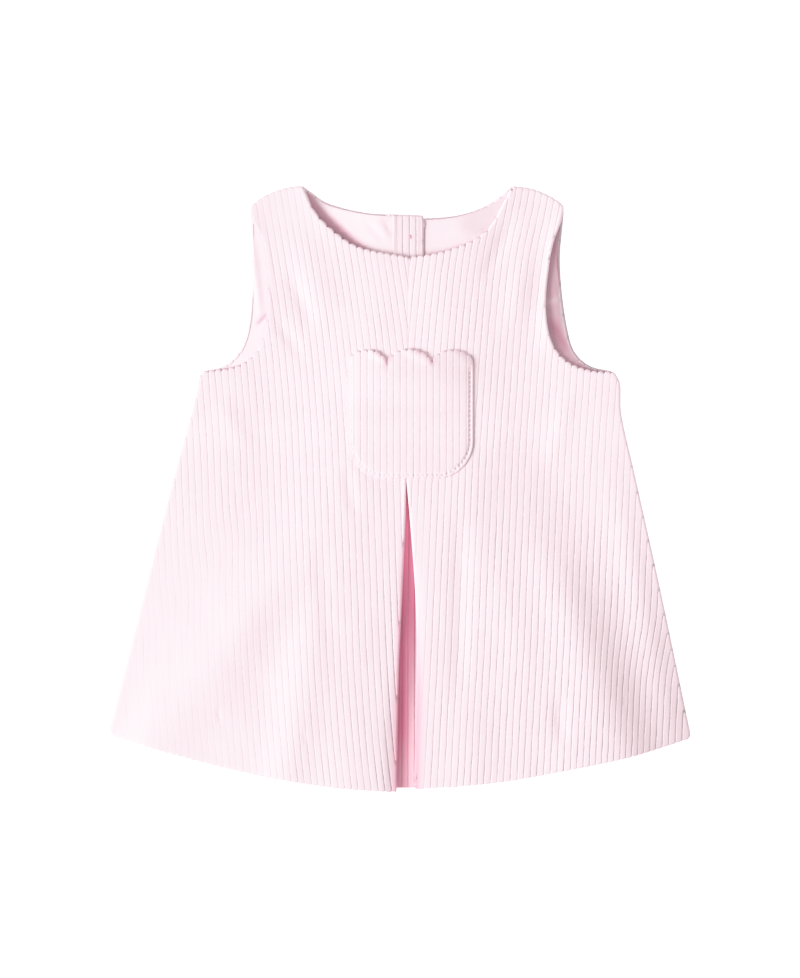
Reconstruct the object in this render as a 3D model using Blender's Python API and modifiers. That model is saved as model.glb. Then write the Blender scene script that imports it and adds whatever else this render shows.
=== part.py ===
"""Child's sleeveless A-line pinafore dress in jumbo corduroy, laid flat on its back.

Sizes are in millimetres and become metres where a mesh is made. X runs across the dress, Y runs
up to the neck and Z stands off the surface that the dress lies on. Left and right are those of
a viewer who looks down on the front.
"""
import math

import bmesh
import bpy
import numpy as np

MM = 0.001
GAP = 0.3                   # between two pieces, at seams and where cloth lies on cloth

# Cloth
WALE_PITCH = 4.29           # jumbo corduroy, six wales to the inch
WALE_HEIGHT = 0.8           # wale crest over its groove
WALE_PROFILE = ((0.0, 0.0), (0.3, 1.0), (0.7, 1.0))     # place across the wale, share of its height
SHELL = 1.3                 # front cloth under its wales
BACK = 1.6                  # back cloth, whose underside lies flat
LINING = 1.0
FACING = 1.0
FACING_WALE = 0.4
UNDERLAY = 1.2
UNDERLAY_WALE = 0.6
RETURN = 1.0                # cloth folded back inside the pleat
POCKET = 1.2

# Levels of the layers over the surface
LINING_TOP = BACK + GAP + LINING
OVERLAP_RISE = LINING_TOP + GAP             # left back placket over the right back and its lining
BUTTON_THICK = 1.8
BUTTON_LIFT = BUTTON_THICK + GAP            # the buttons lie under the back
FACING_TOP = BUTTON_LIFT + OVERLAP_RISE + BACK + GAP + FACING + FACING_WALE
UNDERLAY_TOP = BACK + GAP + UNDERLAY + UNDERLAY_WALE
RETURN_MID = UNDERLAY_TOP + GAP + RETURN / 2
FLAP_LEVEL = RETURN_MID + RETURN / 2 + GAP  # inner side of the front over the pleat

# Outline, each stretch as the few points that its curve runs through: x, y
NECK_LEFT = (-63.0, 197.3)
NECK_RIGHT = (72.8, 197.3)
FRONT_NECK_LEFT = (NECK_LEFT, (-55.3, 181.0), (-42.9, 168.0), (-25.4, 157.0), (5.9, 150.8))
FRONT_NECK_RIGHT = (NECK_RIGHT, (66.0, 184.0), (57.0, 169.0), (44.2, 160.2), (25.0, 153.6), (5.9, 150.8))
BACK_NECK_LEFT = (NECK_LEFT, (-57.0, 193.0), (-45.5, 185.8), (-19.5, 179.7), (15.6, 177.9))
BACK_NECK_RIGHT = (NECK_RIGHT, (60.0, 187.0), (47.0, 181.0), (32.5, 177.6), (15.6, 176.4), (-4.0, 177.4))
SHOULDER_LEFT = (-97.8, 184.4)
SHOULDER_RIGHT = (107.2, 184.6)
SHOULDER_LINE_LEFT = (SHOULDER_LEFT, (-88.4, 190.8), (-76.0, 195.6), NECK_LEFT)
SHOULDER_LINE_RIGHT = (SHOULDER_RIGHT, (97.5, 190.8), (85.5, 195.6), NECK_RIGHT)
UNDERARM_LEFT = (-130.0, 76.8)
UNDERARM_RIGHT = (139.5, 76.4)
FRONT_ARM_LEFT = (UNDERARM_LEFT, (-112.0, 78.6), (-100.8, 83.0), (-91.5, 93.0), (-86.8, 112.0),
                  (-85.8, 136.0), (-89.0, 160.0), (-95.6, 173.0), SHOULDER_LEFT)
FRONT_ARM_RIGHT = (UNDERARM_RIGHT, (124.0, 77.4), (108.0, 84.0), (98.0, 98.0), (95.0, 122.5),
                   (98.8, 155.7), (104.7, 173.2), SHOULDER_RIGHT)
BACK_ARM_LEFT = (UNDERARM_LEFT, (-116.0, 79.8), (-106.0, 88.5), (-100.4, 101.0), (-97.6, 122.0),
                 (-97.0, 150.0), SHOULDER_LEFT)
BACK_ARM_RIGHT = (UNDERARM_RIGHT, (124.0, 80.2), (114.0, 89.0), (109.5, 102.0), (105.8, 125.0),
                  (104.2, 150.0), (106.0, 172.0), SHOULDER_RIGHT)
HEM_LEFT = (-189.8, -160.0)
HEM_RIGHT = (189.8, -162.4)
SIDE_LEFT = (HEM_LEFT, (-151.0, -6.8), (-134.0, 56.0), UNDERARM_LEFT)
SIDE_RIGHT = (HEM_RIGHT, (170.3, -69.0), (153.0, 9.0), (144.2, 48.0), (143.4, 68.0), UNDERARM_RIGHT)
HEM = (HEM_LEFT, (-149.5, -172.6), (-97.5, -185.8), (-45.5, -194.4), (-2.0, -197.3), (11.0, -195.6),
       (58.5, -192.0), (97.5, -185.8), (149.5, -174.7), HEM_RIGHT)
BACK_SHORT = 4.5            # the back hangs this much shorter at the middle of its hem
CURVE_STEPS = 4             # points for each stretch between two of a curve's own points
HEM_STEPS = 16

# Centre front: the halves meet down to the pleat's top, then its two folded edges part
CENTRE_NECK = (5.9, 150.8)
PLEAT_TOP = (4.1, 6.0)
FLAP_LEFT = (PLEAT_TOP, (3.4, -24.6), (1.4, -71.8), (-0.7, -118.0), (-2.0, -200.0))
FLAP_RIGHT = (PLEAT_TOP, (6.8, -24.6), (10.1, -71.8), (10.6, -118.0), (9.1, -200.0))
FLAP_STEPS = 3
RETURN_DEPTH = 27.0         # how far the cloth folds back inside the pleat
RETURN_TOP = 45.0
RETURN_STEP = 2.0           # the centre edge steps in to the flat of the flap over this height
RETURN_HEM = -195.2
ROLL_INSET = 1.2            # the flat of the flap starts this far from its folded edge
ROLL_LAP = 6.0              # the roll's upper leg runs this far into the flap
ROLL_STEPS = 5
UNDERLAY_BOX = (-27.0, 38.0, -194.6, RETURN_TOP)        # low x, high x, low y, high y

# Centre back: placket, with the left half over the right one
PLACKET_LEFT = -4.0
PLACKET_RIGHT = 15.6
PLACKET_FOOT = 76.0
CENTRE_BACK = 5.8
FACING_FOOT = 80.0
LINING_FOOT = 50.0
LINING_INSET = 1.5          # the lining is rolled inside the corduroy's edge
LINING_CLEAR = 0.9          # the left lining stops this short of the facing
LINING_STEP = 2.0           # the right lining steps out to its placket lap this far over its foot
BUTTON_RADIUS = 5.5
BUTTON_X = 5.8
BUTTON_TOP_Y = 163.0
BUTTON_PITCH = 36.0
BUTTON_COUNT = 3
BUTTON_RIM = 0.45
BUTTON_SIDES = 20

# Pocket, about its own centre line: a rounded square foot and three scallops on the open edge
POCKET_X = 6.8
POCKET_HALF = 41.3
POCKET_FOOT = 6.4
POCKET_SHOULDER = 80.6
POCKET_CORNER = 25.0
SCALLOPS = (                # centre from the pocket's centre line, half width, top over the shoulder
    {"centre": -28.2, "half": 13.1, "top": 10.0},
    {"centre": -0.6, "half": 14.5, "top": 10.4},
    {"centre": 27.6, "half": 13.7, "top": 10.0},
)
ARC_STEPS = 9               # steps of a round corner and of a scallop
SCALLOP_FULLNESS = 0.8      # under 1, a scallop is fuller than a half ellipse
POCKET_CLEAR = 0.25         # spare room under the pocket, for the facets of the front

# Lean of the wales towards the centre line, in degrees from straight down: height, lean
WALE_LEAN = ((-200.0, 6.0), (-169.0, 6.0), (-146.0, 4.5), (-124.0, 3.0), (-52.0, 3.0), (-33.0, 2.0),
             (-7.0, 2.0), (18.0, 3.0), (41.0, 4.0), (65.0, 5.0), (88.0, 6.0), (111.0, 7.5),
             (136.0, 9.0), (200.0, 9.5))
LEAN_STEPS = 60             # steps of the sum of the lean up the dress

# The front's height: knots across the dress for what lies under its centre
ROW_STEP = 25.0
COLUMN_STEP = 10.0
KNOT_CLEAR = 0.2            # an even grid line nearer a knot than this share of a step is left out
PLEAT_KNOTS = (-64.0, -30.0, 42.0, 76.0)
PLACKET_KNOTS = (-60.0, -6.0, 18.0, 62.0)
LIFT_KNOTS = (-24.0, -6.0, 18.0, 36.0)
OVERLAP_KNOTS = (-14.0, -6.0)
PLACKET_ROWS = (50.0, 75.0)
LINING_ROWS = (25.0, 50.0)
SEAM_HOLD = 26.0            # soft folds die out this near to a side seam

# Largest soft folds: top and foot of the crest, half width, height, share of it left at the foot
FOLD_RISE = 0.55            # share of its length over which a fold rises
FOLD_FALL = 0.5             # share of its length after which a closed fold falls again
FOLDS = (
    {"name": "right_skirt", "top": (62.0, 22.0), "foot": (140.0, -178.0), "half": 21.0, "height": 5.0,
     "open": 1.0},
    {"name": "right_side", "top": (128.0, 40.0), "foot": (176.0, -170.0), "half": 12.0, "height": 2.4,
     "open": 0.8},
    {"name": "left_skirt", "top": (-30.0, 2.0), "foot": (-150.0, -150.0), "half": 20.0, "height": 3.2,
     "open": 0.7},
    {"name": "left_middle", "top": (-44.0, -30.0), "foot": (-78.0, -196.0), "half": 14.0, "height": 1.6,
     "open": 1.0},
    {"name": "right_flap", "top": (14.0, -20.0), "foot": (22.0, -198.0), "half": 8.0, "height": 1.6,
     "open": 1.0},
    {"name": "right_middle", "top": (70.0, -40.0), "foot": (82.0, -190.0), "half": 13.0, "height": 1.5,
     "open": 1.0},
    {"name": "left_chest", "top": (-66.0, 176.0), "foot": (-46.0, 96.0), "half": 9.0, "height": 1.6,
     "open": 0.0},
    {"name": "right_chest", "top": (86.0, 170.0), "foot": (70.0, 92.0), "half": 9.0, "height": 1.4,
     "open": 0.0},
)

# Blocks that the walls are cut with
BLOCK_FLOOR = -30.0
PRISM_FLOOR = -12.0
PRISM_TOP = 40.0
REACH = 212.0               # half width of the blocks, past the widest outline
MARGIN = 10.0               # a small piece's blocks reach this far past its outline
FACING_MARGIN = 1.5         # those of the facing stay on the flat of the placket
MERGE = 1e-6                # metres, between points that are one

CORDUROY = {"name": "corduroy", "colour": (0.90, 0.72, 0.78), "rough": 0.95}
LINING_CLOTH = {"name": "lining_cloth", "colour": (0.90, 0.74, 0.79), "rough": 0.8}
BUTTON_RESIN = {"name": "button_resin", "colour": (0.93, 0.80, 0.84), "rough": 0.35}


def ease(share):
    """Soft step from 0 to 1."""
    share = min(max(share, 0.0), 1.0)
    return share * share * (3.0 - 2.0 * share)


def ramp(value, knots):
    """Trapezium over four knots, or a rise over two."""
    heights = (0.0, 1.0, 1.0, 0.0) if len(knots) == 4 else (0.0, 1.0)
    return float(np.interp(value, knots, heights))


# ---------------------------------------------------------------- curves

def smooth_line(points, steps=CURVE_STEPS):
    """Catmull-Rom curve through the points, ends included."""
    points = [np.array(point) for point in points]
    padded = [2 * points[0] - points[1]] + points + [2 * points[-1] - points[-2]]
    line = []
    for index in range(len(points) - 1):
        before, start, end, after = padded[index:index + 4]
        for step in range(steps):
            t = step / steps
            place = 0.5 * (2 * start + (end - before) * t
                           + (2 * before - 5 * start + 4 * end - after) * t ** 2
                           + (3 * start - before - 3 * end + after) * t ** 3)
            line.append(tuple(place))
    line.append(tuple(points[-1]))
    return line


def hem_line(low_x, high_x, steps, short=0.0):
    """Points of the hem between two places across, drawn up at its middle by an amount."""
    curve = smooth_line(HEM)
    line = []
    for step in range(steps + 1):
        x = low_x + (high_x - low_x) * step / steps
        y = np.interp(x, [point[0] for point in curve], [point[1] for point in curve])
        line.append((x, float(y) + short * (1.0 - (x / HEM_RIGHT[0]) ** 2)))
    return line


def shifted(line, dx):
    """The same line moved across."""
    return [(x + dx, y) for x, y in line]


def inset(line, amount):
    """An outline that runs anticlockwise, drawn in by an amount."""
    drawn = []
    for index, (x, y) in enumerate(line):
        before = line[index - 1]
        after = line[(index + 1) % len(line)]
        along = np.array((after[0] - before[0], after[1] - before[1]))
        along = along / max(np.linalg.norm(along), MERGE)
        drawn.append((x - along[1] * amount, y + along[0] * amount))
    return drawn


# ---------------------------------------------------------------- heights

def seam_distance(x, y):
    """Distance in from the nearer side seam."""
    seam = SIDE_LEFT if x < 0 else SIDE_RIGHT
    seam_x = np.interp(y, [point[1] for point in seam], [point[0] for point in seam])
    return max(abs(float(seam_x)) - abs(x), 0.0)


def fold_height(x, y):
    """Soft folds of the front, which rise towards their feet."""
    total = 0.0
    for fold in FOLDS:
        top = np.array(fold["top"])
        along = np.array(fold["foot"]) - top
        length = np.linalg.norm(along)
        along = along / length
        offset = np.array((x, y)) - top
        share = float(offset @ along) / length
        across = float(offset[0] * along[1] - offset[1] * along[0]) / fold["half"]
        rise = ease(share / FOLD_RISE)
        drop = ease((share - FOLD_FALL) / (1.0 - FOLD_FALL))
        fall = fold["open"] + (1.0 - fold["open"]) * (1.0 - drop)
        total += fold["height"] * rise * fall * math.exp(-across ** 2)
    return total * ease(seam_distance(x, y) / SEAM_HOLD)


def table(x, y):
    """The surface that the dress lies on."""
    return 0.0


def back_right_under(x, y):
    """Underside of the right back, which rises over the buttons that it lies on."""
    return BUTTON_LIFT * ramp(x, LIFT_KNOTS) * ramp(y, PLACKET_ROWS)


def back_left_under(x, y):
    """Underside of the left back, whose placket laps over the right one and its lining."""
    return back_right_under(x, y) + OVERLAP_RISE * ramp(x, OVERLAP_KNOTS) * ramp(y, PLACKET_ROWS)


def raised(surface, amount):
    """The surface a fixed amount higher."""
    return lambda x, y: surface(x, y) + amount


def front_inner(x, y):
    """Inner side of the front, over the back, lining, placket and pleat."""
    base = BACK + GAP + (LINING + GAP) * ramp(y, LINING_ROWS)
    over_pleat = (FLAP_LEVEL - BACK - GAP) * ramp(x, PLEAT_KNOTS)
    over_placket = (FACING_TOP + GAP - BACK - GAP - LINING - GAP) * ramp(x, PLACKET_KNOTS)
    share = ramp(y, PLACKET_ROWS)
    return base + over_pleat * (1.0 - share) + over_placket * share + fold_height(x, y)


# ---------------------------------------------------------------- solids

def new_object(name, mesh, collection, material=None):
    """Object of a mesh in a collection."""
    item = bpy.data.objects.new(name, mesh)
    collection.objects.link(item)
    if material is not None:
        mesh.materials.clear()
        mesh.materials.append(material)
    return item


def prism(name, outline, low, high, collection, material=None):
    """Upright solid on a flat outline, as a mesh that can be cut."""
    data = bpy.data.curves.new(name + "_outline", "CURVE")
    data.dimensions = "2D"
    data.fill_mode = "BOTH"
    data.extrude = (high - low) / 2 * MM
    spline = data.splines.new("POLY")
    spline.points.add(len(outline) - 1)
    for point, (x, y) in zip(spline.points, outline):
        point.co = (x * MM, y * MM, 0.0, 1.0)
    spline.use_cyclic_u = True
    guide = bpy.data.objects.new(name + "_outline", data)
    bpy.context.scene.collection.objects.link(guide)
    guide.location.z = (low + high) / 2 * MM
    bpy.context.view_layer.update()
    evaluated = guide.evaluated_get(bpy.context.evaluated_depsgraph_get())
    mesh = bpy.data.meshes.new_from_object(evaluated)
    mesh.transform(guide.matrix_world)
    weld(mesh)
    bpy.data.objects.remove(guide)
    return new_object(name, mesh, collection, material)


def weld(mesh):
    """Join the caps to the walls and turn all faces outwards."""
    work = bmesh.new()
    work.from_mesh(mesh)
    bmesh.ops.remove_doubles(work, verts=work.verts[:], dist=MERGE)
    bmesh.ops.recalc_face_normals(work, faces=work.faces[:])
    work.to_mesh(mesh)
    work.free()


def block(name, columns, rows, place, collection):
    """Cutter: a solid under a surface, with place(column, row) giving its points in mm."""
    work = bmesh.new()
    bmesh.ops.create_grid(work, x_segments=len(columns) - 1, y_segments=len(rows) - 1, size=1.0)
    for vert in work.verts:
        column = round((vert.co.x + 1.0) / 2.0 * (len(columns) - 1))
        row = round((vert.co.y + 1.0) / 2.0 * (len(rows) - 1))
        vert.co = [value * MM for value in place(columns[column], rows[row])]
    bmesh.ops.triangulate(work, faces=work.faces[:], quad_method="FIXED")
    pulled = bmesh.ops.extrude_face_region(work, geom=work.faces[:], use_keep_orig=True)
    for vert in pulled["geom"]:
        if isinstance(vert, bmesh.types.BMVert):
            vert.co.z = BLOCK_FLOOR * MM
    bmesh.ops.recalc_face_normals(work, faces=work.faces[:])
    mesh = bpy.data.meshes.new(name)
    work.to_mesh(mesh)
    work.free()
    cutter = new_object(name, mesh, collection)
    cutter.hide_render = True
    cutter.display_type = "WIRE"
    return cutter


def plain_block(name, surface, columns, rows, collection):
    """Cutter under a plain surface."""
    return block(name, columns, rows, lambda x, y: (x, y, surface(x, y)), collection)


def wale_shift(y):
    """How far a wale stands out from its place at the hem, at a height."""
    heights = [row[0] for row in WALE_LEAN]
    slopes = [math.tan(math.radians(row[1])) for row in WALE_LEAN]
    steps = np.linspace(-REACH, y, LEAN_STEPS)
    lean = np.interp(steps, heights, slopes)
    return float(np.sum((lean[1:] + lean[:-1]) / 2 * np.diff(steps)))


def wale_columns(low, high):
    """Places across the wales and the share of the wale's height at each."""
    first = math.floor(low / WALE_PITCH)
    last = math.ceil(high / WALE_PITCH)
    return [((index + place) * WALE_PITCH, height)
            for index in range(first, last) for place, height in WALE_PROFILE]


def centre_x(y):
    """Centre line of the front, which leans a little."""
    share = (y - PLEAT_TOP[1]) / (CENTRE_NECK[1] - PLEAT_TOP[1])
    return PLEAT_TOP[0] + (CENTRE_NECK[0] - PLEAT_TOP[0]) * share


def front_wale_block(name, side, rows, collection):
    """Cutter under the ribbed outer side of a front half; side is -1 left, 1 right."""
    shifts = {y: wale_shift(y) for y in rows}

    def place(column, y):
        out, height = column
        x = centre_x(y) + side * (out + shifts[y])
        return x, y, front_inner(x, y) + SHELL + WALE_HEIGHT * height

    columns = wale_columns(-WALE_PITCH - max(shifts.values()), REACH)
    return block(name, columns, rows, place, collection)


def straight_wale_block(name, low, high, rows, surface, wale, collection):
    """Cutter under a ribbed surface whose wales run straight up the piece."""
    def place(column, y):
        x, height = column
        return x, y, surface(x, y) + wale * height

    return block(name, wale_columns(low, high), rows, place, collection)


def cut(item, cutter, operation):
    """Boolean modifier."""
    step = item.modifiers.new(operation.lower() + "_" + cutter.name, "BOOLEAN")
    step.operation = operation
    step.solver = "EXACT"
    step.object = cutter


def wall(name, outline, top, core, collection, material):
    """Cloth wall: what a prism on its outline holds under one block and over another."""
    item = prism(name, outline, PRISM_FLOOR, PRISM_TOP, collection, material)
    cut(item, top, "INTERSECT")
    cut(item, core, "DIFFERENCE")
    return item


# ---------------------------------------------------------------- pieces

def lines(low, high, step, knots=()):
    """Grid lines at an even step, with the knots of the surface among them."""
    even = [value for value in np.arange(low, high + step / 2, step)
            if all(abs(value - knot) > step * KNOT_CLEAR for knot in knots)]
    return sorted(even + list(knots))


def pleat_roll(name, edge, side, collection):
    """Folded edge of the pleat: over the flap, round its edge and back inside."""
    stations = [(x, y) for x, y in edge if y > RETURN_HEM]
    foot = np.interp(RETURN_HEM, [y for _, y in reversed(edge)], [x for x, _ in reversed(edge)])
    stations.append((float(foot), RETURN_HEM))
    profile_count = ROLL_STEPS + 3
    work = bmesh.new()
    bmesh.ops.create_grid(work, x_segments=profile_count - 1, y_segments=len(stations) - 1, size=1.0)
    for vert in work.verts:
        index = round((vert.co.x + 1.0) / 2.0 * (profile_count - 1))
        edge_x, y = stations[round((vert.co.y + 1.0) / 2.0 * (len(stations) - 1))]
        flap_x = edge_x + side * ROLL_LAP
        flap_mid = front_inner(flap_x, y) + SHELL / 2
        radius = (flap_mid - RETURN_MID) / 2
        reach = radius + RETURN / 2
        if index == 0:
            out, height = ROLL_LAP, flap_mid
        elif index == profile_count - 1:
            out, height = RETURN_DEPTH, RETURN_MID
        else:
            turn = math.pi * (index - 1) / ROLL_STEPS
            out = reach - radius * math.sin(turn)
            height = RETURN_MID + radius + radius * math.cos(turn)
        vert.co = ((edge_x + side * out) * MM, y * MM, height * MM)
    bmesh.ops.recalc_face_normals(work, faces=work.faces[:])
    mesh = bpy.data.meshes.new(name)
    work.to_mesh(mesh)
    work.free()
    item = new_object(name, mesh, collection)
    item.hide_render = True
    item.display_type = "WIRE"
    skin = item.modifiers.new("thickness", "SOLIDIFY")
    skin.thickness = RETURN * MM
    skin.offset = 0.0
    return item


def build_front(side, collection, cutters, material):
    """One front half with its pleat return; side is -1 left, 1 right."""
    name = "front_left" if side < 0 else "front_right"
    flap = smooth_line(FLAP_LEFT if side < 0 else FLAP_RIGHT, FLAP_STEPS)
    flap = shifted(flap, side * GAP / 2)
    seam_top = (centre_x(RETURN_TOP) + side * GAP / 2, RETURN_TOP)
    neck = FRONT_NECK_LEFT if side < 0 else FRONT_NECK_RIGHT
    corner = HEM_LEFT if side < 0 else HEM_RIGHT
    flat_edge = shifted([point for point in flap if point[1] > RETURN_HEM], side * ROLL_INSET)
    hem = hem_line(flat_edge[-1][0], corner[0], HEM_STEPS)
    neck_line = smooth_line(neck)[:-1] + [(CENTRE_NECK[0] + side * GAP / 2, CENTRE_NECK[1])]
    outline = neck_line + [seam_top] + [(seam_top[0] + side * ROLL_INSET, RETURN_TOP - RETURN_STEP)]
    outline += flat_edge + hem[:-1] + side_and_arm(side, FRONT_ARM_LEFT, FRONT_ARM_RIGHT)
    if side < 0:
        outline.reverse()
    rows = lines(-REACH, REACH, ROW_STEP, PLACKET_ROWS + LINING_ROWS[:1])
    knots = PLEAT_KNOTS + PLACKET_KNOTS
    columns = lines(-REACH, REACH, COLUMN_STEP, knots)
    top = front_wale_block(name + "_top", side, rows, cutters)
    core = plain_block(name + "_core", front_inner, columns, rows, cutters)
    item = wall(name, outline, top, core, collection, material)
    roll = pleat_roll(name + "_roll", [seam_top] + flap, side, cutters)
    cut(item, roll, "UNION")
    return item


def build_underlay(collection, cutters, material):
    """Corduroy inset that closes the pleat from behind."""
    low_x, high_x, low_y, high_y = UNDERLAY_BOX
    outline = [(low_x, low_y), (high_x, low_y), (high_x, high_y), (low_x, high_y)]
    rows = (low_y - MARGIN, high_y + MARGIN)
    columns = (low_x - MARGIN, high_x + MARGIN)
    under = raised(table, BACK + GAP)
    top = straight_wale_block("underlay_top", low_x - WALE_PITCH, high_x + WALE_PITCH, rows,
                              raised(under, UNDERLAY), UNDERLAY_WALE, cutters)
    core = plain_block("underlay_core", under, columns, rows, cutters)
    return wall("pleat_underlay", outline, top, core, collection, material)


def pocket_outline():
    """Rounded foot, straight sides and the scallops, anticlockwise from the left shoulder."""
    left = POCKET_X - POCKET_HALF
    right = POCKET_X + POCKET_HALF
    line = [(left, POCKET_SHOULDER)]
    for side, start in ((-1, math.pi), (1, 1.5 * math.pi)):
        middle = POCKET_X + side * (POCKET_HALF - POCKET_CORNER)
        for step in range(ARC_STEPS):
            turn = start + math.pi / 2 * step / (ARC_STEPS - 1)
            line.append((middle + POCKET_CORNER * math.cos(turn),
                         POCKET_FOOT + POCKET_CORNER + POCKET_CORNER * math.sin(turn)))
    line.append((right, POCKET_SHOULDER))
    for scallop in reversed(SCALLOPS):
        for step in range(1, ARC_STEPS + 1):
            turn = math.pi * step / ARC_STEPS
            line.append((POCKET_X + scallop["centre"] + scallop["half"] * math.cos(turn),
                         POCKET_SHOULDER + scallop["top"] * math.sin(turn) ** SCALLOP_FULLNESS))
    return line[:-1]


def build_pocket(collection, cutters, material):
    """Patch pocket on the front's crests."""
    rows = lines(-ROW_STEP, 5 * ROW_STEP, ROW_STEP / 2)
    columns = lines(POCKET_X - POCKET_HALF - MARGIN, POCKET_X + POCKET_HALF + MARGIN, ROW_STEP / 2)
    under = raised(front_inner, SHELL + WALE_HEIGHT + GAP + POCKET_CLEAR)
    top = straight_wale_block("pocket_top", columns[0], columns[-1], rows, raised(under, POCKET),
                              WALE_HEIGHT, cutters)
    core = plain_block("pocket_core", under, columns, rows, cutters)
    return wall("pocket", pocket_outline(), top, core, collection, material)


def side_and_arm(side, arm_left, arm_right):
    """Side seam, armhole and shoulder, from the hem's corner up to the neck."""
    stretches = ((SIDE_LEFT, arm_left, SHOULDER_LINE_LEFT) if side < 0
                 else (SIDE_RIGHT, arm_right, SHOULDER_LINE_RIGHT))
    return [point for stretch in stretches for point in smooth_line(stretch)[:-1]]


def back_outline(side):
    """One back half, with its placket lap beside the centre seam."""
    neck = BACK_NECK_LEFT if side < 0 else BACK_NECK_RIGHT
    corner = HEM_LEFT if side < 0 else HEM_RIGHT
    lap = PLACKET_RIGHT if side < 0 else PLACKET_LEFT
    seam = CENTRE_BACK + side * GAP / 2
    outline = smooth_line(neck) + [(lap, PLACKET_FOOT), (seam, PLACKET_FOOT)]
    outline += hem_line(seam, corner[0], HEM_STEPS, BACK_SHORT)[:-1]
    outline += side_and_arm(side, BACK_ARM_LEFT, BACK_ARM_RIGHT)
    if side < 0:
        outline.reverse()
    return outline


def lining_outline(side):
    """Bodice lining: the back's outline above the lining's foot, drawn in from its edges."""
    edge = side_and_arm(side, BACK_ARM_LEFT, BACK_ARM_RIGHT)
    edge = [point for point in edge if point[1] > LINING_FOOT]
    edge = [(edge[0][0], LINING_FOOT)] + edge
    neck = smooth_line(BACK_NECK_LEFT if side < 0 else BACK_NECK_RIGHT)
    if side < 0:
        neck = [point for point in neck if point[0] < PLACKET_LEFT - LINING_INSET]
        inner = PLACKET_LEFT - LINING_CLEAR + LINING_INSET
        tail = [(inner, neck[-1][1]), (inner, LINING_FOOT)]
    else:
        foot = CENTRE_BACK + GAP
        lap_foot = PLACKET_FOOT + LINING_STEP
        tail = [(PLACKET_LEFT, lap_foot), (foot, lap_foot), (foot, LINING_FOOT)]
    outline = edge + neck + tail
    if side < 0:
        outline.reverse()
    return inset(outline, LINING_INSET)


def build_back(side, collection, cutters, corduroy, lining):
    """One back half and the lining that lies on it."""
    word = "left" if side < 0 else "right"
    under = back_left_under if side < 0 else back_right_under
    knots = LIFT_KNOTS + OVERLAP_KNOTS[:1]
    columns = lines(-REACH, REACH, REACH, knots)
    rows = [-REACH] + list(PLACKET_ROWS) + [REACH]
    top = plain_block("back_" + word + "_top", raised(under, BACK), columns, rows, cutters)
    core = plain_block("back_" + word + "_core", under, columns, rows, cutters)
    back = wall("back_" + word, back_outline(side), top, core, collection, corduroy)
    inner = plain_block("lining_" + word + "_core", raised(under, BACK + GAP), columns, rows, cutters)
    outer = plain_block("lining_" + word + "_top", raised(under, BACK + GAP + LINING), columns, rows,
                        cutters)
    sheet = wall("lining_" + word, lining_outline(side), outer, inner, collection, lining)
    return back, sheet


def build_facing(collection, cutters, material):
    """Corduroy strip that faces the placket, up to the neck edge."""
    neck = np.array(smooth_line(BACK_NECK_LEFT))
    outline = [(PLACKET_LEFT, FACING_FOOT), (PLACKET_RIGHT, FACING_FOOT)]
    for x in np.linspace(PLACKET_RIGHT, PLACKET_LEFT, CURVE_STEPS + 1):
        outline.append((float(x), float(np.interp(x, neck[:, 0], neck[:, 1])) - LINING_INSET / 2))
    under = raised(back_left_under, BACK + GAP)
    rows = (FACING_FOOT - FACING_MARGIN, REACH)
    top = straight_wale_block("facing_top", PLACKET_LEFT - WALE_PITCH, PLACKET_RIGHT + WALE_PITCH,
                              rows, raised(under, FACING), FACING_WALE, cutters)
    columns = (PLACKET_LEFT - FACING_MARGIN, PLACKET_RIGHT + FACING_MARGIN)
    core = plain_block("facing_core", under, columns, rows, cutters)
    return wall("placket_facing", outline, top, core, collection, material)


def build_button(number, collection, material):
    """Flat button with a rounded rim, turned on its own axis."""
    work = bmesh.new()
    bmesh.ops.create_cone(work, cap_ends=True, segments=BUTTON_SIDES, radius1=BUTTON_RADIUS * MM,
                          radius2=BUTTON_RADIUS * MM, depth=BUTTON_THICK * MM)
    rims = [edge for edge in work.edges if abs(edge.verts[0].co.z - edge.verts[1].co.z) < MERGE]
    bmesh.ops.bevel(work, geom=rims, offset=BUTTON_RIM * MM, affect="EDGES", segments=1, profile=0.5,
                    material=-1)
    y = BUTTON_TOP_Y - BUTTON_PITCH * (number - 1)
    bmesh.ops.translate(work, verts=work.verts[:], vec=(0.0, 0.0, BUTTON_THICK / 2 * MM))
    mesh = bpy.data.meshes.new("button_" + str(number))
    work.to_mesh(mesh)
    work.free()
    item = new_object("button_" + str(number), mesh, collection, material)
    item.location = (BUTTON_X * MM, y * MM, 0.0)
    return item


def make_material(spec):
    """Principled material in a plain colour."""
    material = bpy.data.materials.new(spec["name"])
    material.use_nodes = True
    shader = material.node_tree.nodes["Principled BSDF"]
    shader.inputs["Base Color"].default_value = (*spec["colour"], 1.0)
    shader.inputs["Roughness"].default_value = spec["rough"]
    shader.inputs["Metallic"].default_value = 0.0
    return material


def main():
    """Build every piece of the dress."""
    for item in list(bpy.data.objects):
        bpy.data.objects.remove(item)
    scene_root = bpy.context.scene.collection
    dress = bpy.data.collections.new("pinafore_dress")
    cutters = bpy.data.collections.new("cutters")
    scene_root.children.link(dress)
    scene_root.children.link(cutters)
    corduroy = make_material(CORDUROY)
    lining = make_material(LINING_CLOTH)
    resin = make_material(BUTTON_RESIN)
    for side in (-1, 1):
        build_front(side, dress, cutters, corduroy)
        build_back(side, dress, cutters, corduroy, lining)
    build_underlay(dress, cutters, corduroy)
    build_pocket(dress, cutters, corduroy)
    build_facing(dress, cutters, corduroy)
    for number in range(1, BUTTON_COUNT + 1):
        build_button(number, dress, resin)


main()
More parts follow.
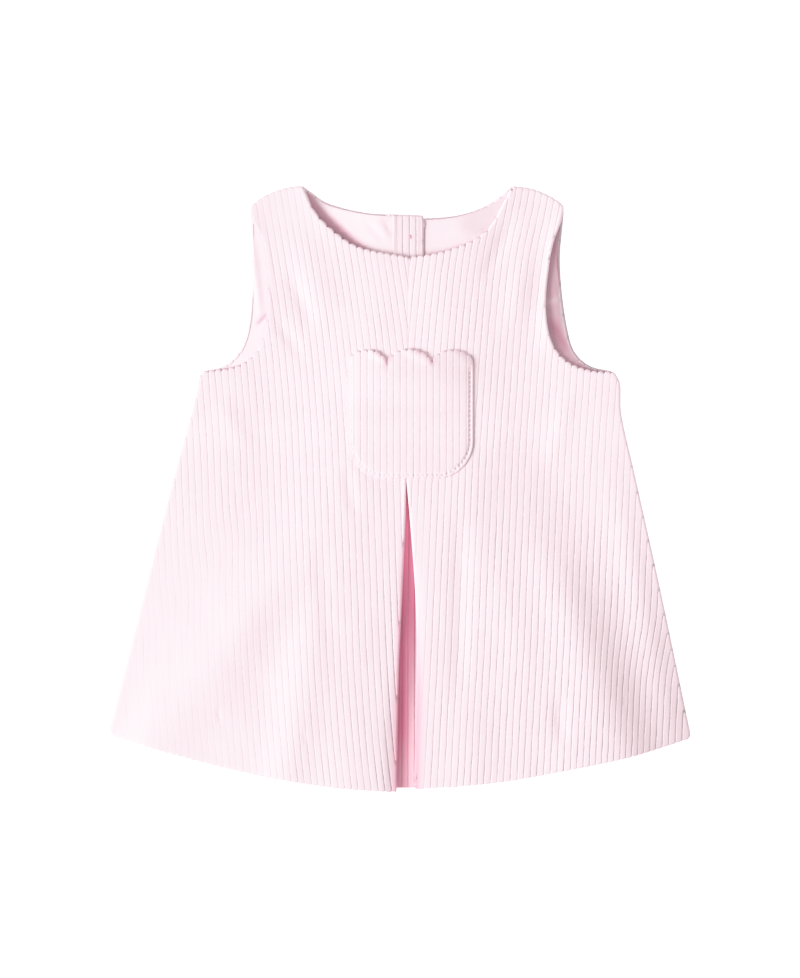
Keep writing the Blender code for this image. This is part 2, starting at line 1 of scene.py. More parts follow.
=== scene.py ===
"""Looks of a child's corduroy pinafore dress that lies flat on its back.

Sizes are in millimetres and become metres where a mesh is finished. X runs across the dress, Y up
to the neck and Z off the surface that it lies on. Left and right are those of a viewer above it.

Each piece of cloth is a closed wall. A grid, whose columns follow the wales, is held to the
piece's outline and lifted to its outer side. A copy makes the inner side, and the free edge is
drawn round in rings that join the two, as a turned or folded edge is.
"""
import math

import bmesh
import bpy
import numpy as np
from mathutils import Matrix, Vector


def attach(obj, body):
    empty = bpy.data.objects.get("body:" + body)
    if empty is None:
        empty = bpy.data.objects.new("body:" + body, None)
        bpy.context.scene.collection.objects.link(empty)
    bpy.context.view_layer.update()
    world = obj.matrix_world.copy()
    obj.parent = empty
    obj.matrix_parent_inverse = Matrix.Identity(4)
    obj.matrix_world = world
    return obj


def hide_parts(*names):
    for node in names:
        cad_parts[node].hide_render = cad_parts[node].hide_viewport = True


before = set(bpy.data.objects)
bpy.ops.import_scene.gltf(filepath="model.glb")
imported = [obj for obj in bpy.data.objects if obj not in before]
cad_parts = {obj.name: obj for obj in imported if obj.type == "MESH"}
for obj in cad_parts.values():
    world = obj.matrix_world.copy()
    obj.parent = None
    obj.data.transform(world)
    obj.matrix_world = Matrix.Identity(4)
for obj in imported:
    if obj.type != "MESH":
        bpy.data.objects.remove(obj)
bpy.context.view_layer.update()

MM = 0.001
LEFT, RIGHT = -1, 1
SIDES = ((LEFT, "left"), (RIGHT, "right"))
CREASE = "top foot half height"     # a crease: both ends of its line, half its width and its height


def table(columns, *rows):
    """Rows with named columns."""
    return [dict(zip(columns.split(), row)) for row in rows]


# ---------------------------------------------------------------- cloth

GAP = 0.3
SEAM_EDGE = 0.12            # roll of an edge that is sewn to its neighbour
SEAM_GAP = -0.1             # the front's halves meet in their seam
WALE_PITCH = 4.29           # jumbo corduroy, six wales to the inch
WALE_HEIGHT = 0.42
WALE_ROUND = 8.0            # higher, a wale has a broader crest and a narrower groove
GROOVE_UNEVEN = 0.16
GROOVE_PHASE = 0.618        # so that no two neighbouring grooves or crests are uneven alike
CREST_UNEVEN = 0.07
CREST_PHASE = 0.382
WALE_COLUMNS = (0.0, 0.04, 0.09, 0.17, 0.32, 0.5, 0.68, 0.83, 0.91, 0.96)
SHELL = 1.3
BACK = 1.6
BACK_WALE = 0.6
LINING = 1.0
FACING = 1.0
FACING_WALE = 0.45
UNDERLAY = 1.2
UNDERLAY_WALE = 0.6
RETURN = 1.0
POCKET = 0.9

# Levels over the surface
LINING_TOP = BACK + GAP + LINING
OVERLAP_RISE = LINING_TOP + GAP
BUTTON_LIFT = 2.1
FACING_TOP = BUTTON_LIFT + OVERLAP_RISE + BACK + GAP + FACING + FACING_WALE
UNDERLAY_TOP = BACK + GAP + UNDERLAY + UNDERLAY_WALE
RETURN_LOW = UNDERLAY_TOP + GAP
RETURN_HIGH = RETURN_LOW + RETURN
FLAP_LEVEL = RETURN_HIGH + GAP

# ---------------------------------------------------------------- outline, x and y

CENTRE_NECK = (5.9, 150.8)
NECK = {LEFT: (-63.0, 197.3), RIGHT: (72.8, 197.3)}
FRONT_NECK = {
    LEFT: (NECK[LEFT], (-55.3, 181.0), (-42.9, 168.0), (-25.4, 157.0), CENTRE_NECK),
    RIGHT: (NECK[RIGHT], (66.0, 184.0), (57.0, 169.0), (44.2, 160.2), (25.0, 153.6), CENTRE_NECK),
}
BACK_NECK = {
    LEFT: (NECK[LEFT], (-57.0, 193.0), (-45.5, 185.8), (-19.5, 179.7), (15.6, 177.9)),
    RIGHT: (NECK[RIGHT], (60.0, 187.0), (47.0, 181.0), (32.5, 177.6), (15.6, 176.4), (-4.0, 177.4)),
}
SHOULDER = {LEFT: (-97.8, 184.4), RIGHT: (107.2, 184.6)}
SHOULDER_LINE = {
    LEFT: (SHOULDER[LEFT], (-88.4, 190.8), (-76.0, 195.6), NECK[LEFT]),
    RIGHT: (SHOULDER[RIGHT], (97.5, 190.8), (85.5, 195.6), NECK[RIGHT]),
}
UNDERARM = {LEFT: (-130.0, 76.8), RIGHT: (139.5, 76.4)}
FRONT_ARM = {
    LEFT: (UNDERARM[LEFT], (-112.0, 78.6), (-100.8, 83.0), (-91.5, 93.0), (-86.8, 112.0),
           (-85.8, 136.0), (-89.0, 160.0), (-95.6, 173.0), SHOULDER[LEFT]),
    RIGHT: (UNDERARM[RIGHT], (124.0, 77.4), (108.0, 84.0), (98.0, 98.0), (95.0, 122.5),
            (98.8, 155.7), (104.7, 173.2), SHOULDER[RIGHT]),
}
BACK_ARM = {
    LEFT: (UNDERARM[LEFT], (-116.0, 79.8), (-106.0, 88.5), (-100.4, 101.0), (-97.6, 122.0),
           (-97.0, 150.0), SHOULDER[LEFT]),
    RIGHT: (UNDERARM[RIGHT], (124.0, 80.2), (114.0, 89.0), (109.5, 102.0), (105.8, 125.0),
            (104.2, 150.0), (106.0, 172.0), SHOULDER[RIGHT]),
}
HEM_CORNER = {LEFT: (-189.8, -160.0), RIGHT: (189.8, -162.4)}
SIDE_SEAM = {
    LEFT: (HEM_CORNER[LEFT], (-151.0, -6.8), (-134.0, 56.0), UNDERARM[LEFT]),
    RIGHT: (HEM_CORNER[RIGHT], (170.3, -69.0), (153.0, 9.0), (144.2, 48.0), (143.4, 68.0),
            UNDERARM[RIGHT]),
}
HEM_MIDDLE = -197.3
HEM = (HEM_CORNER[LEFT], (-149.5, -172.6), (-97.5, -185.8), (-45.5, -194.4), (-2.0, HEM_MIDDLE),
       (11.0, -195.6), (58.5, -192.0), (97.5, -185.8), (149.5, -174.7), HEM_CORNER[RIGHT])
BACK_SHORT = 4.5            # the back's hem lies this much higher at its middle
PLEAT_TOP = (4.1, 6.0)
FLAP = {
    LEFT: (PLEAT_TOP, (3.4, -24.6), (1.4, -71.8), (-0.7, -118.0), (-2.0, -200.0)),
    RIGHT: (PLEAT_TOP, (6.8, -24.6), (10.1, -71.8), (10.6, -118.0), (9.1, -200.0)),
}
# The right flap's edge rolls down into the pleat
FLAP_ROLL = {"drop": 1.0, "half": 3.5, "down": (-20.0, -110.0), "past": 2.0}
FLAP_FOLD = 3.0             # the cloth folds back within this of a flap's edge
FLAP_PAST = 4.0             # its roll reaches this far past it
FLAP_CLEAR = 0.5            # a flap's edge ends this far over the hem
RETURN_DEPTH = 26.0         # how far the cloth folds back inside the pleat
UNDERLAY_BOX = (-27.0, 38.0, -194.6, 45.0)
UNDERLAY_DEEP = (-13.0, -4.0, 12.0, 21.0)   # the painted shade, a deeper pink, is kept between the flaps
PLACKET_LEFT = -4.0
PLACKET_RIGHT = 15.6
PLACKET_FOOT = 76.0
CENTRE_BACK = 5.8
FACING_FOOT = 80.0
FACING_EDGE = ((15.6, FACING_FOOT), (15.6, 130.0), (15.8, 151.0), (14.8, 160.0), (15.2, 166.0), (16.2, 171.5),
               (15.4, 176.0))
LINING_FOOT = 50.0
LINING_INSET = 1.45
LINING_CLEAR = 0.2
# The lining rises towards the placket: where from, and over how long
LINING_RISE = {LEFT: (-66.0, 58.0), RIGHT: (84.0, 52.0)}
LINING_SLIT = 2.0           # the right lining is cut away under the placket, from this far over its foot
LINING_STEP = 0.9           # fall from the placket's edge to the right lining
BACK_BEAD = 1.0             # the back's turned edge stands up round the lining
BEAD_LAND = 0.3             # and laps over the lining's edge
BUTTON_THREAD = (6.6, 163.6)
BUTTON_THREAD_LENGTH = 3.2
BUTTON_THREAD_WAYS = ((1.0, 0.9), (1.0, -1.1), (0.2, 1.0))
BUTTON_COUNT = 3

# Pocket, about its own centre line
POCKET_X = 6.8
POCKET_HALF = 41.3
POCKET_FOOT = 6.4
POCKET_SHOULDER = 80.6
POCKET_CORNER = 25.0
SCALLOPS = table(
    "centre half top",
    (-28.2, 13.1, 10.0),
    (-0.6, 14.5, 10.4),
    (27.6, 13.7, 10.0),
)
SCALLOP_FULLNESS = 0.8
# The pocket's mouth stands off a little on the right shoulder of each scallop
POCKET_LIFTS = table(
    CREASE,
    ((-23.0, 92.0), (-4.0, 81.5), 3.2, 0.8),
    ((-1.0, 93.0), (25.0, 80.0), 3.2, 0.6),
    ((29.0, 93.0), (51.0, 76.0), 3.2, 0.2),
)
# Painted shadow: its turned edge is a deeper pink there
POCKET_PAINTED_SHADOWS = table(
    CREASE,
    ((-18.0, 91.0), (-5.0, 80.0), 4.0, 0.7),
    ((8.0, 92.0), (24.0, 79.0), 4.0, 0.6),
    ((38.0, 92.0), (52.0, 78.0), 4.0, 0.3),
)
# How far the pocket's grooves stand open: their depth and how dark their painted shade is
POCKET_GROOVE_OPEN = 0.55
TOPSTITCH_IN = 2.7          # topstitching, in from the pocket's edge

# ---------------------------------------------------------------- lie of the cloth

# Lean of the wales towards the centre line, in degrees from straight down: height, lean
LEAN = {
    LEFT: ((-200.0, 8.5), (-177.0, 7.0), (-161.0, 6.0), (-130.0, 4.3), (-100.0, 3.5), (-68.0, 3.0),
           (-21.0, 2.2), (10.0, 3.2), (41.0, 4.5), (57.0, 5.0), (72.0, 5.6), (88.0, 6.6),
           (111.0, 8.8), (136.0, 9.4), (200.0, 10.0)),
    RIGHT: ((-200.0, 3.2), (-161.0, 2.3), (-130.0, 2.6), (-100.0, 2.2), (-68.0, 1.9), (-21.0, 1.3),
            (-5.0, 1.4), (10.0, 2.1), (25.0, 3.0), (41.0, 3.3), (57.0, 3.7), (72.0, 2.6), (88.0, 3.6),
            (111.0, 4.8), (136.0, 5.4), (152.0, 8.0), (168.0, 11.5), (200.0, 9.0)),
}
LEAN_Y = np.arange(-212.0, 213.0, 1.0)      # heights at which the lean is added up
WANDER = (0.25, 0.2)        # how far a wale strays from its line, in long waves and in short ones
WANDER_FREE = 30.0          # it strays freely this far out from the centre line
# Where a fold draws the wales in towards the centre
BENDS = table(
    CREASE,
    ((-80.0, 2.0), (-186.0, -124.0), 12.0, 1.6),
    ((106.0, -88.0), (200.0, -138.0), 16.0, 0.3),
)
# Low on the right the wales come closer together: across, down, and how far they are drawn in
SQUEEZE = {"across": (108.0, 178.0), "down": (-72.0, -132.0), "drawn": 5.5}
# Soft steps across, where the cloth climbs over the layers below it
PLEAT_KNOTS = (-92.0, -26.0, 38.0, 104.0)
PLACKET_KNOTS = (-98.0, -6.0, 18.0, 98.0)
LIFT_KNOTS = (-24.0, -6.0, 18.0, 36.0)
OVERLAP_KNOTS = (-14.0, -6.0)
# And up the dress
PLACKET_ROWS = (50.0, 75.0)
LINING_ROWS = (25.0, 50.0)
# How far the grooves stand open along X, at the hem and at the chest: their depth, and how dark their
# painted shade is, which is lighter where the light falls
TONE_X = (-190.0, -120.0, -60.0, -10.0, 40.0, 90.0, 140.0, 190.0)
GROOVE_OPEN_LOW = (0.06, 0.15, 0.55, 0.7, 0.75, 0.9, 1.1, 1.1)
GROOVE_OPEN_HIGH = (0.5, 0.5, 0.62, 0.55, 0.75, 0.65, 0.5, 0.5)
GROOVE_OPEN_ROWS = (-80.0, 30.0)
GROOVE_OPEN_UNEVEN = 0.5
# On the left strap the grooves are half shut, with less painted shade; beside the pleat's flaps they
# stand open, with more, on the left only
GROOVE_OPEN_STRAP = {"up": (150.0, 180.0), "closed": 0.5}
GROOVE_OPEN_FLAP = {
    LEFT: {"in": 4.0, "half": 5.0, "open": 0.6, "down": (-20.0, -100.0)},
    RIGHT: {"at": 13.0, "half": 5.0, "closed": 0.8, "down": (0.0, -30.0)},
}
# Painted light and shade: how light the pile is along X, at the hem, the middle and the chest
PAINTED_LIGHT_ROWS = (-150.0, -30.0, 90.0)
PAINTED_LIGHT_LOW = (0.93, 0.95, 0.93, 0.94, 1.01, 1.03, 0.945, 0.92)
PAINTED_LIGHT_MIDDLE = (0.95, 0.95, 0.955, 0.985, 1.01, 1.05, 1.06, 1.03)
PAINTED_LIGHT_HIGH = (0.97, 0.97, 0.95, 1.01, 1.11, 1.12, 1.06, 1.05)
# A painted highlight on the left flap's edge, and painted shade low down on the cloth beside it
FLAP_PAINTED_HIGHLIGHT = {"in": 1.2, "half": 1.2, "more": 0.25}
FLAP_SIDE_PAINTED_SHADE = {"in": 6.0, "half": 4.0, "less": 0.14, "down": (-110.0, -165.0)}
SEAM_HOLD = 26.0            # soft folds die out this near to a side seam
FOLD_RISE = 0.55
FOLD_FALL = 0.5
CREASE_ENDS = (0.0, 0.35, 0.65, 1.0)

# Large soft folds: a crease's columns, and the share of the height that is left at its foot
FOLDS = table(
    "top foot half height open",
    ((70.0, 22.0), (149.0, -178.0), 19.0, 3.6, 1.0),
    ((46.0, 10.0), (116.0, -180.0), 24.0, 2.1, 1.0),
    ((138.0, 40.0), (186.0, -170.0), 12.0, 2.4, 0.8),
    ((-30.0, 2.0), (-150.0, -150.0), 22.0, 2.8, 0.7),
    ((-44.0, -30.0), (-78.0, -196.0), 14.0, 1.6, 1.0),
    ((70.0, -40.0), (82.0, -190.0), 13.0, 0.5, 1.0),
    ((-66.0, 176.0), (-46.0, 96.0), 11.0, 0.9, 0.0),
    ((86.0, 170.0), (70.0, 92.0), 9.0, 1.4, 0.0),
)
# Small creases of the front, soft at both ends: a height under 0 is a trough
CREASES = table(
    CREASE,
    ((-74.0, 146.0), (-55.0, 100.0), 5.0, -0.7),
    ((-82.0, 112.0), (-62.0, 84.0), 4.0, -0.6),
    ((76.0, 180.0), (52.0, 132.0), 5.0, -0.8),
    ((-36.0, 18.0), (-29.0, -22.0), 4.0, -0.5),
    ((40.0, 0.0), (38.0, -150.0), 6.0, -0.85),
    ((-52.0, -30.0), (-46.0, -110.0), 6.0, -0.4),
    ((104.0, -132.0), (105.0, -168.0), 5.0, -0.8),
    ((-120.0, 60.0), (-96.0, 20.0), 7.0, 0.5),
    ((112.0, 66.0), (96.0, 12.0), 7.0, 0.6),
)
# Free edges that stand a little off the lining, from these rows up
LIFT_ROWS = (70.0, 90.0)
LIFTS = table(
    CREASE,
    ((-78.0, 222.0), (-30.0, 154.0), 9.0, 0.8),
    ((108.0, 186.0), (97.0, 82.0), 8.0, 2.2),
    ((-98.0, 186.0), (-84.0, 90.0), 6.0, 0.5),
)
# Puckers of the lining in the back of the neck and in the armholes
LINING_CREASES = table(
    CREASE,
    ((-50.0, 186.0), (-20.0, 150.0), 6.0, 0.5),
    ((-24.0, 176.0), (-8.0, 158.0), 2.2, -0.35),
    ((-9.5, 174.0), (-6.5, 166.0), 0.8, -0.3),
    ((30.0, 172.0), (62.0, 160.0), 6.0, 0.45),
    ((-98.0, 172.0), (-90.0, 104.0), 2.4, 0.6),
    ((-85.5, 115.0), (-93.5, 107.0), 1.3, -0.5),
    ((101.0, 164.0), (103.4, 132.0), 1.0, 0.7),
    ((99.0, 150.0), (104.0, 96.0), 2.6, 0.5),
    ((86.0, 118.0), (112.0, 125.0), 1.8, 0.25),
)
# Painted shade where the lining is a deeper pink than round it, in its folds, and painted light where
# a height under 0 makes it paler: height is a share of the deep colour
LINING_PAINTED_SHADE = table(
    CREASE,
    ((100.4, 166.0), (104.4, 126.0), 0.8, 0.4),
    ((96.0, 114.0), (112.0, 86.0), 3.5, 0.35),
    ((86.0, 119.0), (112.0, 126.0), 2.0, -0.2),
    ((103.5, 150.0), (107.0, 108.0), 1.6, -0.45),
    ((-84.5, 116.0), (-94.5, 106.0), 1.1, 0.5),
    ((-14.0, 178.0), (-4.0, 160.0), 1.6, 0.2),
)
# Painted shade: the cloth of the pleat's folded edges is a deeper pink
FLAP_EDGE_PAINTED_SHADE = table(
    "side reach deep down",
    (LEFT, 4.5, 0.62, (0.0, -60.0)),
    (LEFT, 10.0, 0.2, (-100.0, -170.0)),
    (RIGHT, 8.0, 0.58, (-60.0, -150.0)),
)
# Blind stitches of the hem dimple the front: x and y
HEM_DIMPLES = ((-78.0, -156.0), (-62.0, -161.0), (-35.0, -163.0), (-8.5, -166.0), (33.0, -161.0),
               (102.0, -148.5), (115.0, -148.0), (-118.0, -147.0), (146.0, -138.0))
DIMPLE_HALF = 1.5
DIMPLE_DEPTH = 0.45


def ease(share):
    """Soft step from 0 to 1."""
    share = np.clip(share, 0.0, 1.0)
    return share * share * (3.0 - 2.0 * share)


def between(value, knots):
    """Soft rise over two knots, or a soft rise and fall over four."""
    rise = ease((value - knots[0]) / (knots[1] - knots[0]))
    if len(knots) == 2:
        return rise
    return rise * (1.0 - ease((value - knots[2]) / (knots[3] - knots[2])))


def bell(value, middle, half):
    """Soft bump: 1 at its middle, and nearly nothing two half widths away."""
    return np.exp(-((value - middle) / half) ** 2)


def each(value, x, y):
    """A value at each point, given as a number or as a function of the place."""
    return value(x, y) if callable(value) else np.full_like(x, value)


def smooth_line(points, steps=10):
    """Catmull-Rom curve through the points, ends included."""
    points = np.array(points, float)
    padded = np.vstack((2 * points[0] - points[1], points, 2 * points[-1] - points[-2]))
    t = (np.arange(steps) / steps)[:, None]
    line = []
    for before, start, end, after in zip(padded, padded[1:], padded[2:], padded[3:]):
        line.append(0.5 * (2 * start + (end - before) * t
                           + (2 * before - 5 * start + 4 * end - after) * t ** 2
                           + (3 * start - before - 3 * end + after) * t ** 3))
    return np.vstack(line + [points[-1:]])


def along_crease(crease, x, y):
    """Share of a crease's length at each point, and the distance across it in half widths."""
    top = np.array(crease["top"])
    run = np.array(crease["foot"]) - top
    length = np.hypot(*run)
    run = run / length
    share = ((x - top[0]) * run[0] + (y - top[1]) * run[1]) / length
    across = ((x - top[0]) * run[1] - (y - top[1]) * run[0]) / crease["half"]
    return share, across


def creases(rows, x, y):
    """Soft troughs and ridges that fade at both ends."""
    total = np.zeros_like(x)
    for crease in rows:
        share, across = along_crease(crease, x, y)
        total += crease["height"] * between(share, CREASE_ENDS) * np.exp(-across ** 2)
    return total


def seam_distance(x, y):
    """Distance in from the nearer side seam."""
    left, right = (np.interp(y, *np.array(SIDE_SEAM[side]).T[::-1]) for side in (LEFT, RIGHT))
    return np.maximum(np.minimum(x - left, right - x), 0.0)


def fold_height(x, y):
    """Large soft folds of the front, which rise towards their feet."""
    total = np.zeros_like(x)
    for fold in FOLDS:
        share, across = along_crease(fold, x, y)
        drop = between(share, (FOLD_FALL, 1.0))
        fall = fold["open"] + (1.0 - fold["open"]) * (1.0 - drop)
        total += fold["height"] * ease(share / FOLD_RISE) * fall * np.exp(-across ** 2)
    return total * ease(seam_distance(x, y) / SEAM_HOLD)


def back_right_under(x, y):
    """Underside of the right back, which rises over the buttons."""
    return BUTTON_LIFT * between(x, LIFT_KNOTS) * between(y, PLACKET_ROWS)


def back_left_under(x, y):
    """Underside of the left back, whose placket laps over the right one."""
    return back_right_under(x, y) + OVERLAP_RISE * between(x, OVERLAP_KNOTS) * between(y, PLACKET_ROWS)


BACK_UNDER = {LEFT: back_left_under, RIGHT: back_right_under}


def front_inner(x, y):
    """Inner side of the front, over the back, lining, placket and pleat."""
    base = BACK + GAP + (LINING + GAP) * between(y, LINING_ROWS)
    over_pleat = (FLAP_LEVEL - BACK - GAP) * between(x, PLEAT_KNOTS)
    over_placket = (FACING_TOP - BACK - LINING - GAP) * between(x, PLACKET_KNOTS)
    share = between(y, PLACKET_ROWS)
    level = base + over_pleat * (1.0 - share) + over_placket * share
    near = bell(x, flap_x(RIGHT, y), FLAP_ROLL["half"]) * between(y, FLAP_ROLL["down"])
    return level + fold_height(x, y) - FLAP_ROLL["drop"] * near * (x > FLAP_ROLL["past"])


# ---------------------------------------------------------------- wales

def centre_x(y):
    """Centre line of the front, which leans a little."""
    share = (y - PLEAT_TOP[1]) / (CENTRE_NECK[1] - PLEAT_TOP[1])
    return PLEAT_TOP[0] + (CENTRE_NECK[0] - PLEAT_TOP[0]) * share


def wave(value, phase, *lengths):
    """Uneven wave between -1 and 1, from sines of unlike lengths."""
    total = 0.0
    for number, length in enumerate(lengths):
        total = total + np.sin(2 * math.pi * (value / length + phase * (number + 1.3)))
    return total / len(lengths)


class Leaning:
    """Wales of one half of the dress, which lean to its centre line."""

    def __init__(self, side):
        self.side = side
        lean = np.interp(LEAN_Y, *np.array(LEAN[side]).T)
        self.shift = np.cumsum(np.tan(np.radians(lean)))

    def drawn(self, x, y):
        """How far out the wales run at a place, past a straight one."""
        held = ease(self.side * (x - centre_x(y)) / WANDER_FREE)
        wander = WANDER[0] * wave(y, 0.13, 170.0, 97.0)
        wander = wander + WANDER[1] * wave(y + 7.0 * x, 0.4, 61.0, 37.0, 23.0)
        close = SQUEEZE["drawn"] * between(x, SQUEEZE["across"]) * between(y, SQUEEZE["down"])
        return np.interp(y, LEAN_Y, self.shift) + held * wander - creases(BENDS, x, y) - close

    def across(self, x, y):
        """Distance out across the wales."""
        return self.side * (x - centre_x(y)) - self.drawn(x, y)

    def place(self, u, y):
        """Where a wale lies at a height, found in a few steps."""
        x = centre_x(y) + self.side * (u + np.interp(y, LEAN_Y, self.shift))
        for _ in range(4):
            x = centre_x(y) + self.side * (u + self.drawn(x, y))
        return x


class Upright:
    """Wales that run straight up a piece, from a first groove."""

    def __init__(self, first):
        self.first = first

    def across(self, x, y):
        """Distance out across the wales."""
        return x - self.first

    def place(self, u, y):
        """Where a wale lies at a height."""
        return u + self.first + 0.0 * y


def flap_x(side, y):
    """Where a pleat flap's edge runs at a height."""
    curve = smooth_line(FLAP[side])
    return np.interp(-y, -curve[:, 1], curve[:, 0])


def nap_open(x, y):
    """How far the grooves of the front stand open at each point: their depth and their painted shade."""
    left, right = GROOVE_OPEN_FLAP[LEFT], GROOVE_OPEN_FLAP[RIGHT]
    share = between(y, GROOVE_OPEN_ROWS)
    level = np.interp(x, TONE_X, GROOVE_OPEN_LOW) * (1.0 - share) + np.interp(x, TONE_X, GROOVE_OPEN_HIGH) * share
    level *= 1.0 - GROOVE_OPEN_STRAP["closed"] * between(y, GROOVE_OPEN_STRAP["up"]) * (x < 0.0)
    near = bell(x, flap_x(LEFT, y) - left["in"], left["half"]) * between(y, left["down"])
    level += left["open"] * near * (x < CENTRE_BACK)
    near = bell(x, right["at"], right["half"]) * between(y, right["down"])
    level *= 1.0 - right["closed"] * near * (x > CENTRE_BACK)
    patches = wave(x, 0.31, 53.0, 31.0, 17.0) * wave(y, 0.17, 97.0, 59.0, 29.0)
    return level * (1.0 + GROOVE_OPEN_UNEVEN * patches)


def brushed(x, y):
    """Painted light and shade of the pile, with a painted highlight and shade beside the left flap."""
    foot, middle, head = PAINTED_LIGHT_ROWS
    level = np.interp(x, TONE_X, PAINTED_LIGHT_MIDDLE)
    level += (np.interp(x, TONE_X, PAINTED_LIGHT_LOW) - level) * between(y, (middle, foot))
    level += (np.interp(x, TONE_X, PAINTED_LIGHT_HIGH) - level) * between(y, (middle, head))
    inside = flap_x(LEFT, y) - x
    beside = (x < CENTRE_BACK) & (y < PLEAT_TOP[1])
    level *= 1.0 + FLAP_PAINTED_HIGHLIGHT["more"] * beside * bell(inside, FLAP_PAINTED_HIGHLIGHT["in"], FLAP_PAINTED_HIGHLIGHT["half"])
    low = between(y, FLAP_SIDE_PAINTED_SHADE["down"])
    return level * (1.0 - FLAP_SIDE_PAINTED_SHADE["less"] * beside * low * bell(inside, FLAP_SIDE_PAINTED_SHADE["in"], FLAP_SIDE_PAINTED_SHADE["half"]))


def wale_share(u):
    """0 at the crest of a wale and 1 in the groove."""
    turn = u / WALE_PITCH
    return np.abs(2.0 * (turn - np.floor(turn)) - 1.0)


def wale_relief(u, y, opened=1.0):
    """Height of the pile, 0 to 1: broad crests, and grooves that are deeper here and shallower there."""
    turn = u / WALE_PITCH
    share = wale_share(u)
    waves = wave(y, np.round(turn) * GROOVE_PHASE, 83.0, 37.0, 19.0)
    depth = opened * (1.0 - GROOVE_UNEVEN + GROOVE_UNEVEN * waves)
    crown = 1.0 - CREST_UNEVEN * (1.0 + wave(y, np.floor(turn) * CREST_PHASE, 67.0, 23.0))
    return crown * (1.0 - depth * share ** WALE_ROUND)


def level_at(height):
    """Flat side or smooth pile of a piece, at one level."""
    return lambda x, y: np.full_like(y, height)


def pile_of(height, opened=1.0):
    """Pile of wales of a height, whose grooves stand open by a share."""
    return lambda u, y: height * wale_relief(u, y, opened)


def wale_lines(across):
    """Columns over every wale of a piece."""
    first = math.floor(across.min() / WALE_PITCH)
    last = math.ceil(across.max() / WALE_PITCH)
    return np.array([(index + part) * WALE_PITCH for index in range(first, last) for part in WALE_COLUMNS])


# ---------------------------------------------------------------- walls of cloth

ROLL_SQUARE = 0.55          # under 1, a turned edge is squarer than round
CAP_DEPTH = 0.95            # at a turned edge, how far the grooves cut in between the wales' ends
CAP_ROUND = 3.0             # lower, the wales' ends are rounder
EDGE_PAINTED_SHADE = 0.03            # painted shade: a turned edge is a little deeper pink towards its outside
EDGE_DIM = 0.3              # painted shade dulls a turned edge that faces the light
EDGE_DIM_WAY = (-0.95, -0.3)
EDGE_FOOT = 0.12            # painted shade: how dark a turned edge is at its foot
# A wale's end shows where an edge faces up or down the dress: which way, from where, over how much
WALE_ENDS = ((1, 0.3, 0.45), (-1, 0.4, 1.6))
EDGE_PILE = 0.92            # elsewhere a turned edge is this full of pile
ROLL_RINGS = 6
LEAST_SPAN = 0.05           # a column inside a piece is longer than this
TURN_APART = 0.1            # turns nearer than this to each other are one
TURN_HALF = 0.03            # a close pair of columns lies this far to either side of a turn
TURN_CLEAR = 0.12           # and no other column lies nearer than this to the turn
MERGE = 1e-4                # points nearer than this are one


def closed_loop(stretches, step=1.5):
    """Anticlockwise outline from stretches of points, with a point at least every step."""
    points = np.vstack([np.array(stretch, float) for stretch in stretches])
    keep = np.hypot(*(points - np.roll(points, 1, axis=0)).T) > 0.01
    points = points[keep]
    after = np.roll(points, -1, axis=0)
    if np.sum(points[:, 0] * after[:, 1] - after[:, 0] * points[:, 1]) < 0:
        points = points[::-1]
        after = np.roll(points, -1, axis=0)
    fine = []
    for start, end in zip(points, after):
        count = max(1, math.ceil(np.hypot(*(end - start)) / step))
        fine.append(start + (end - start) * (np.arange(count) / count)[:, None])
    return np.vstack(fine)


def soften(loop, corners, reach=5.0):
    """Round a loop off near its corners, as turned cloth is."""
    average = sum(np.roll(loop, step, axis=0) for step in range(-3, 4)) / 7
    share = sum(np.exp(-np.sum((loop - corner) ** 2, axis=1) / reach ** 2) for corner in corners)
    return loop + (average - loop) * np.minimum(share, 1.0)[:, None]


def outward(points, loop, reach=1.6):
    """Outward direction of an anticlockwise loop near each point, averaged over a reach."""
    run = np.roll(loop, -1, axis=0) - loop
    length = np.hypot(*run.T)
    middle = loop + run / 2
    apart = np.sum((points[:, None, :] - middle[None]) ** 2, axis=2)
    weight = np.exp(-(apart - apart.min(axis=1, keepdims=True)) / reach ** 2) * length
    way = weight @ (np.stack((run[:, 1], -run[:, 0]), axis=1) / length[:, None])
    return way / np.hypot(*way.T)[:, None]


def edge_distance(points, loop):
    """Distance of each point from the loop's nearest point, in blocks to save memory."""
    found = []
    for start in range(0, len(points), 4000):
        block = points[start:start + 4000]
        apart = np.sum((block[:, None, :] - loop[None]) ** 2, axis=2)
        found.append(np.sqrt(apart.min(axis=1)))
    return np.concatenate(found)


def held_columns(columns, rows, loop):
    """Height of each column at each row, held to the nearest span that lies inside the loop.

    The ends of that span come with it.
    """
    start_u, start_y = loop.T
    end_u, end_y = np.roll(loop, -1, axis=0).T
    held, foot, head = np.full((3, len(columns), len(rows)), np.nan)
    for index, u in enumerate(columns):
        crossed = (start_u - u) * (end_u - u) < 0
        share = (u - start_u[crossed]) / (end_u[crossed] - start_u[crossed])
        ends = np.sort(start_y[crossed] + share * (end_y[crossed] - start_y[crossed]))
        spans = ends.reshape(-1, 2)
        spans = spans[spans[:, 1] - spans[:, 0] > LEAST_SPAN]
        if len(spans):
            choices = np.clip(rows[None], spans[:, :1], spans[:, 1:])
            nearest = np.argmin(np.abs(choices - rows), axis=0)
            held[index] = choices[nearest, np.arange(len(rows))]
            foot[index], head[index] = spans[nearest].T
    return held, foot, head


def with_turns(columns, across):
    """Columns inside a loop, with a close pair wherever the loop turns back across them."""
    ahead = np.sign(np.roll(across, -1) - across)
    turns = []
    for place in np.unique(across[ahead != np.roll(ahead, 1)]):
        if not turns or place - turns[-1] > TURN_APART:
            turns.append(place)
    apart = np.abs(columns[:, None] - np.array(turns)[None]).min(axis=1)
    pairs = np.concatenate([(place - TURN_HALF, place + TURN_HALF) for place in turns])
    columns = np.sort(np.concatenate((columns[apart > TURN_CLEAR], pairs)))
    return columns[(columns > across.min()) & (columns < across.max())]


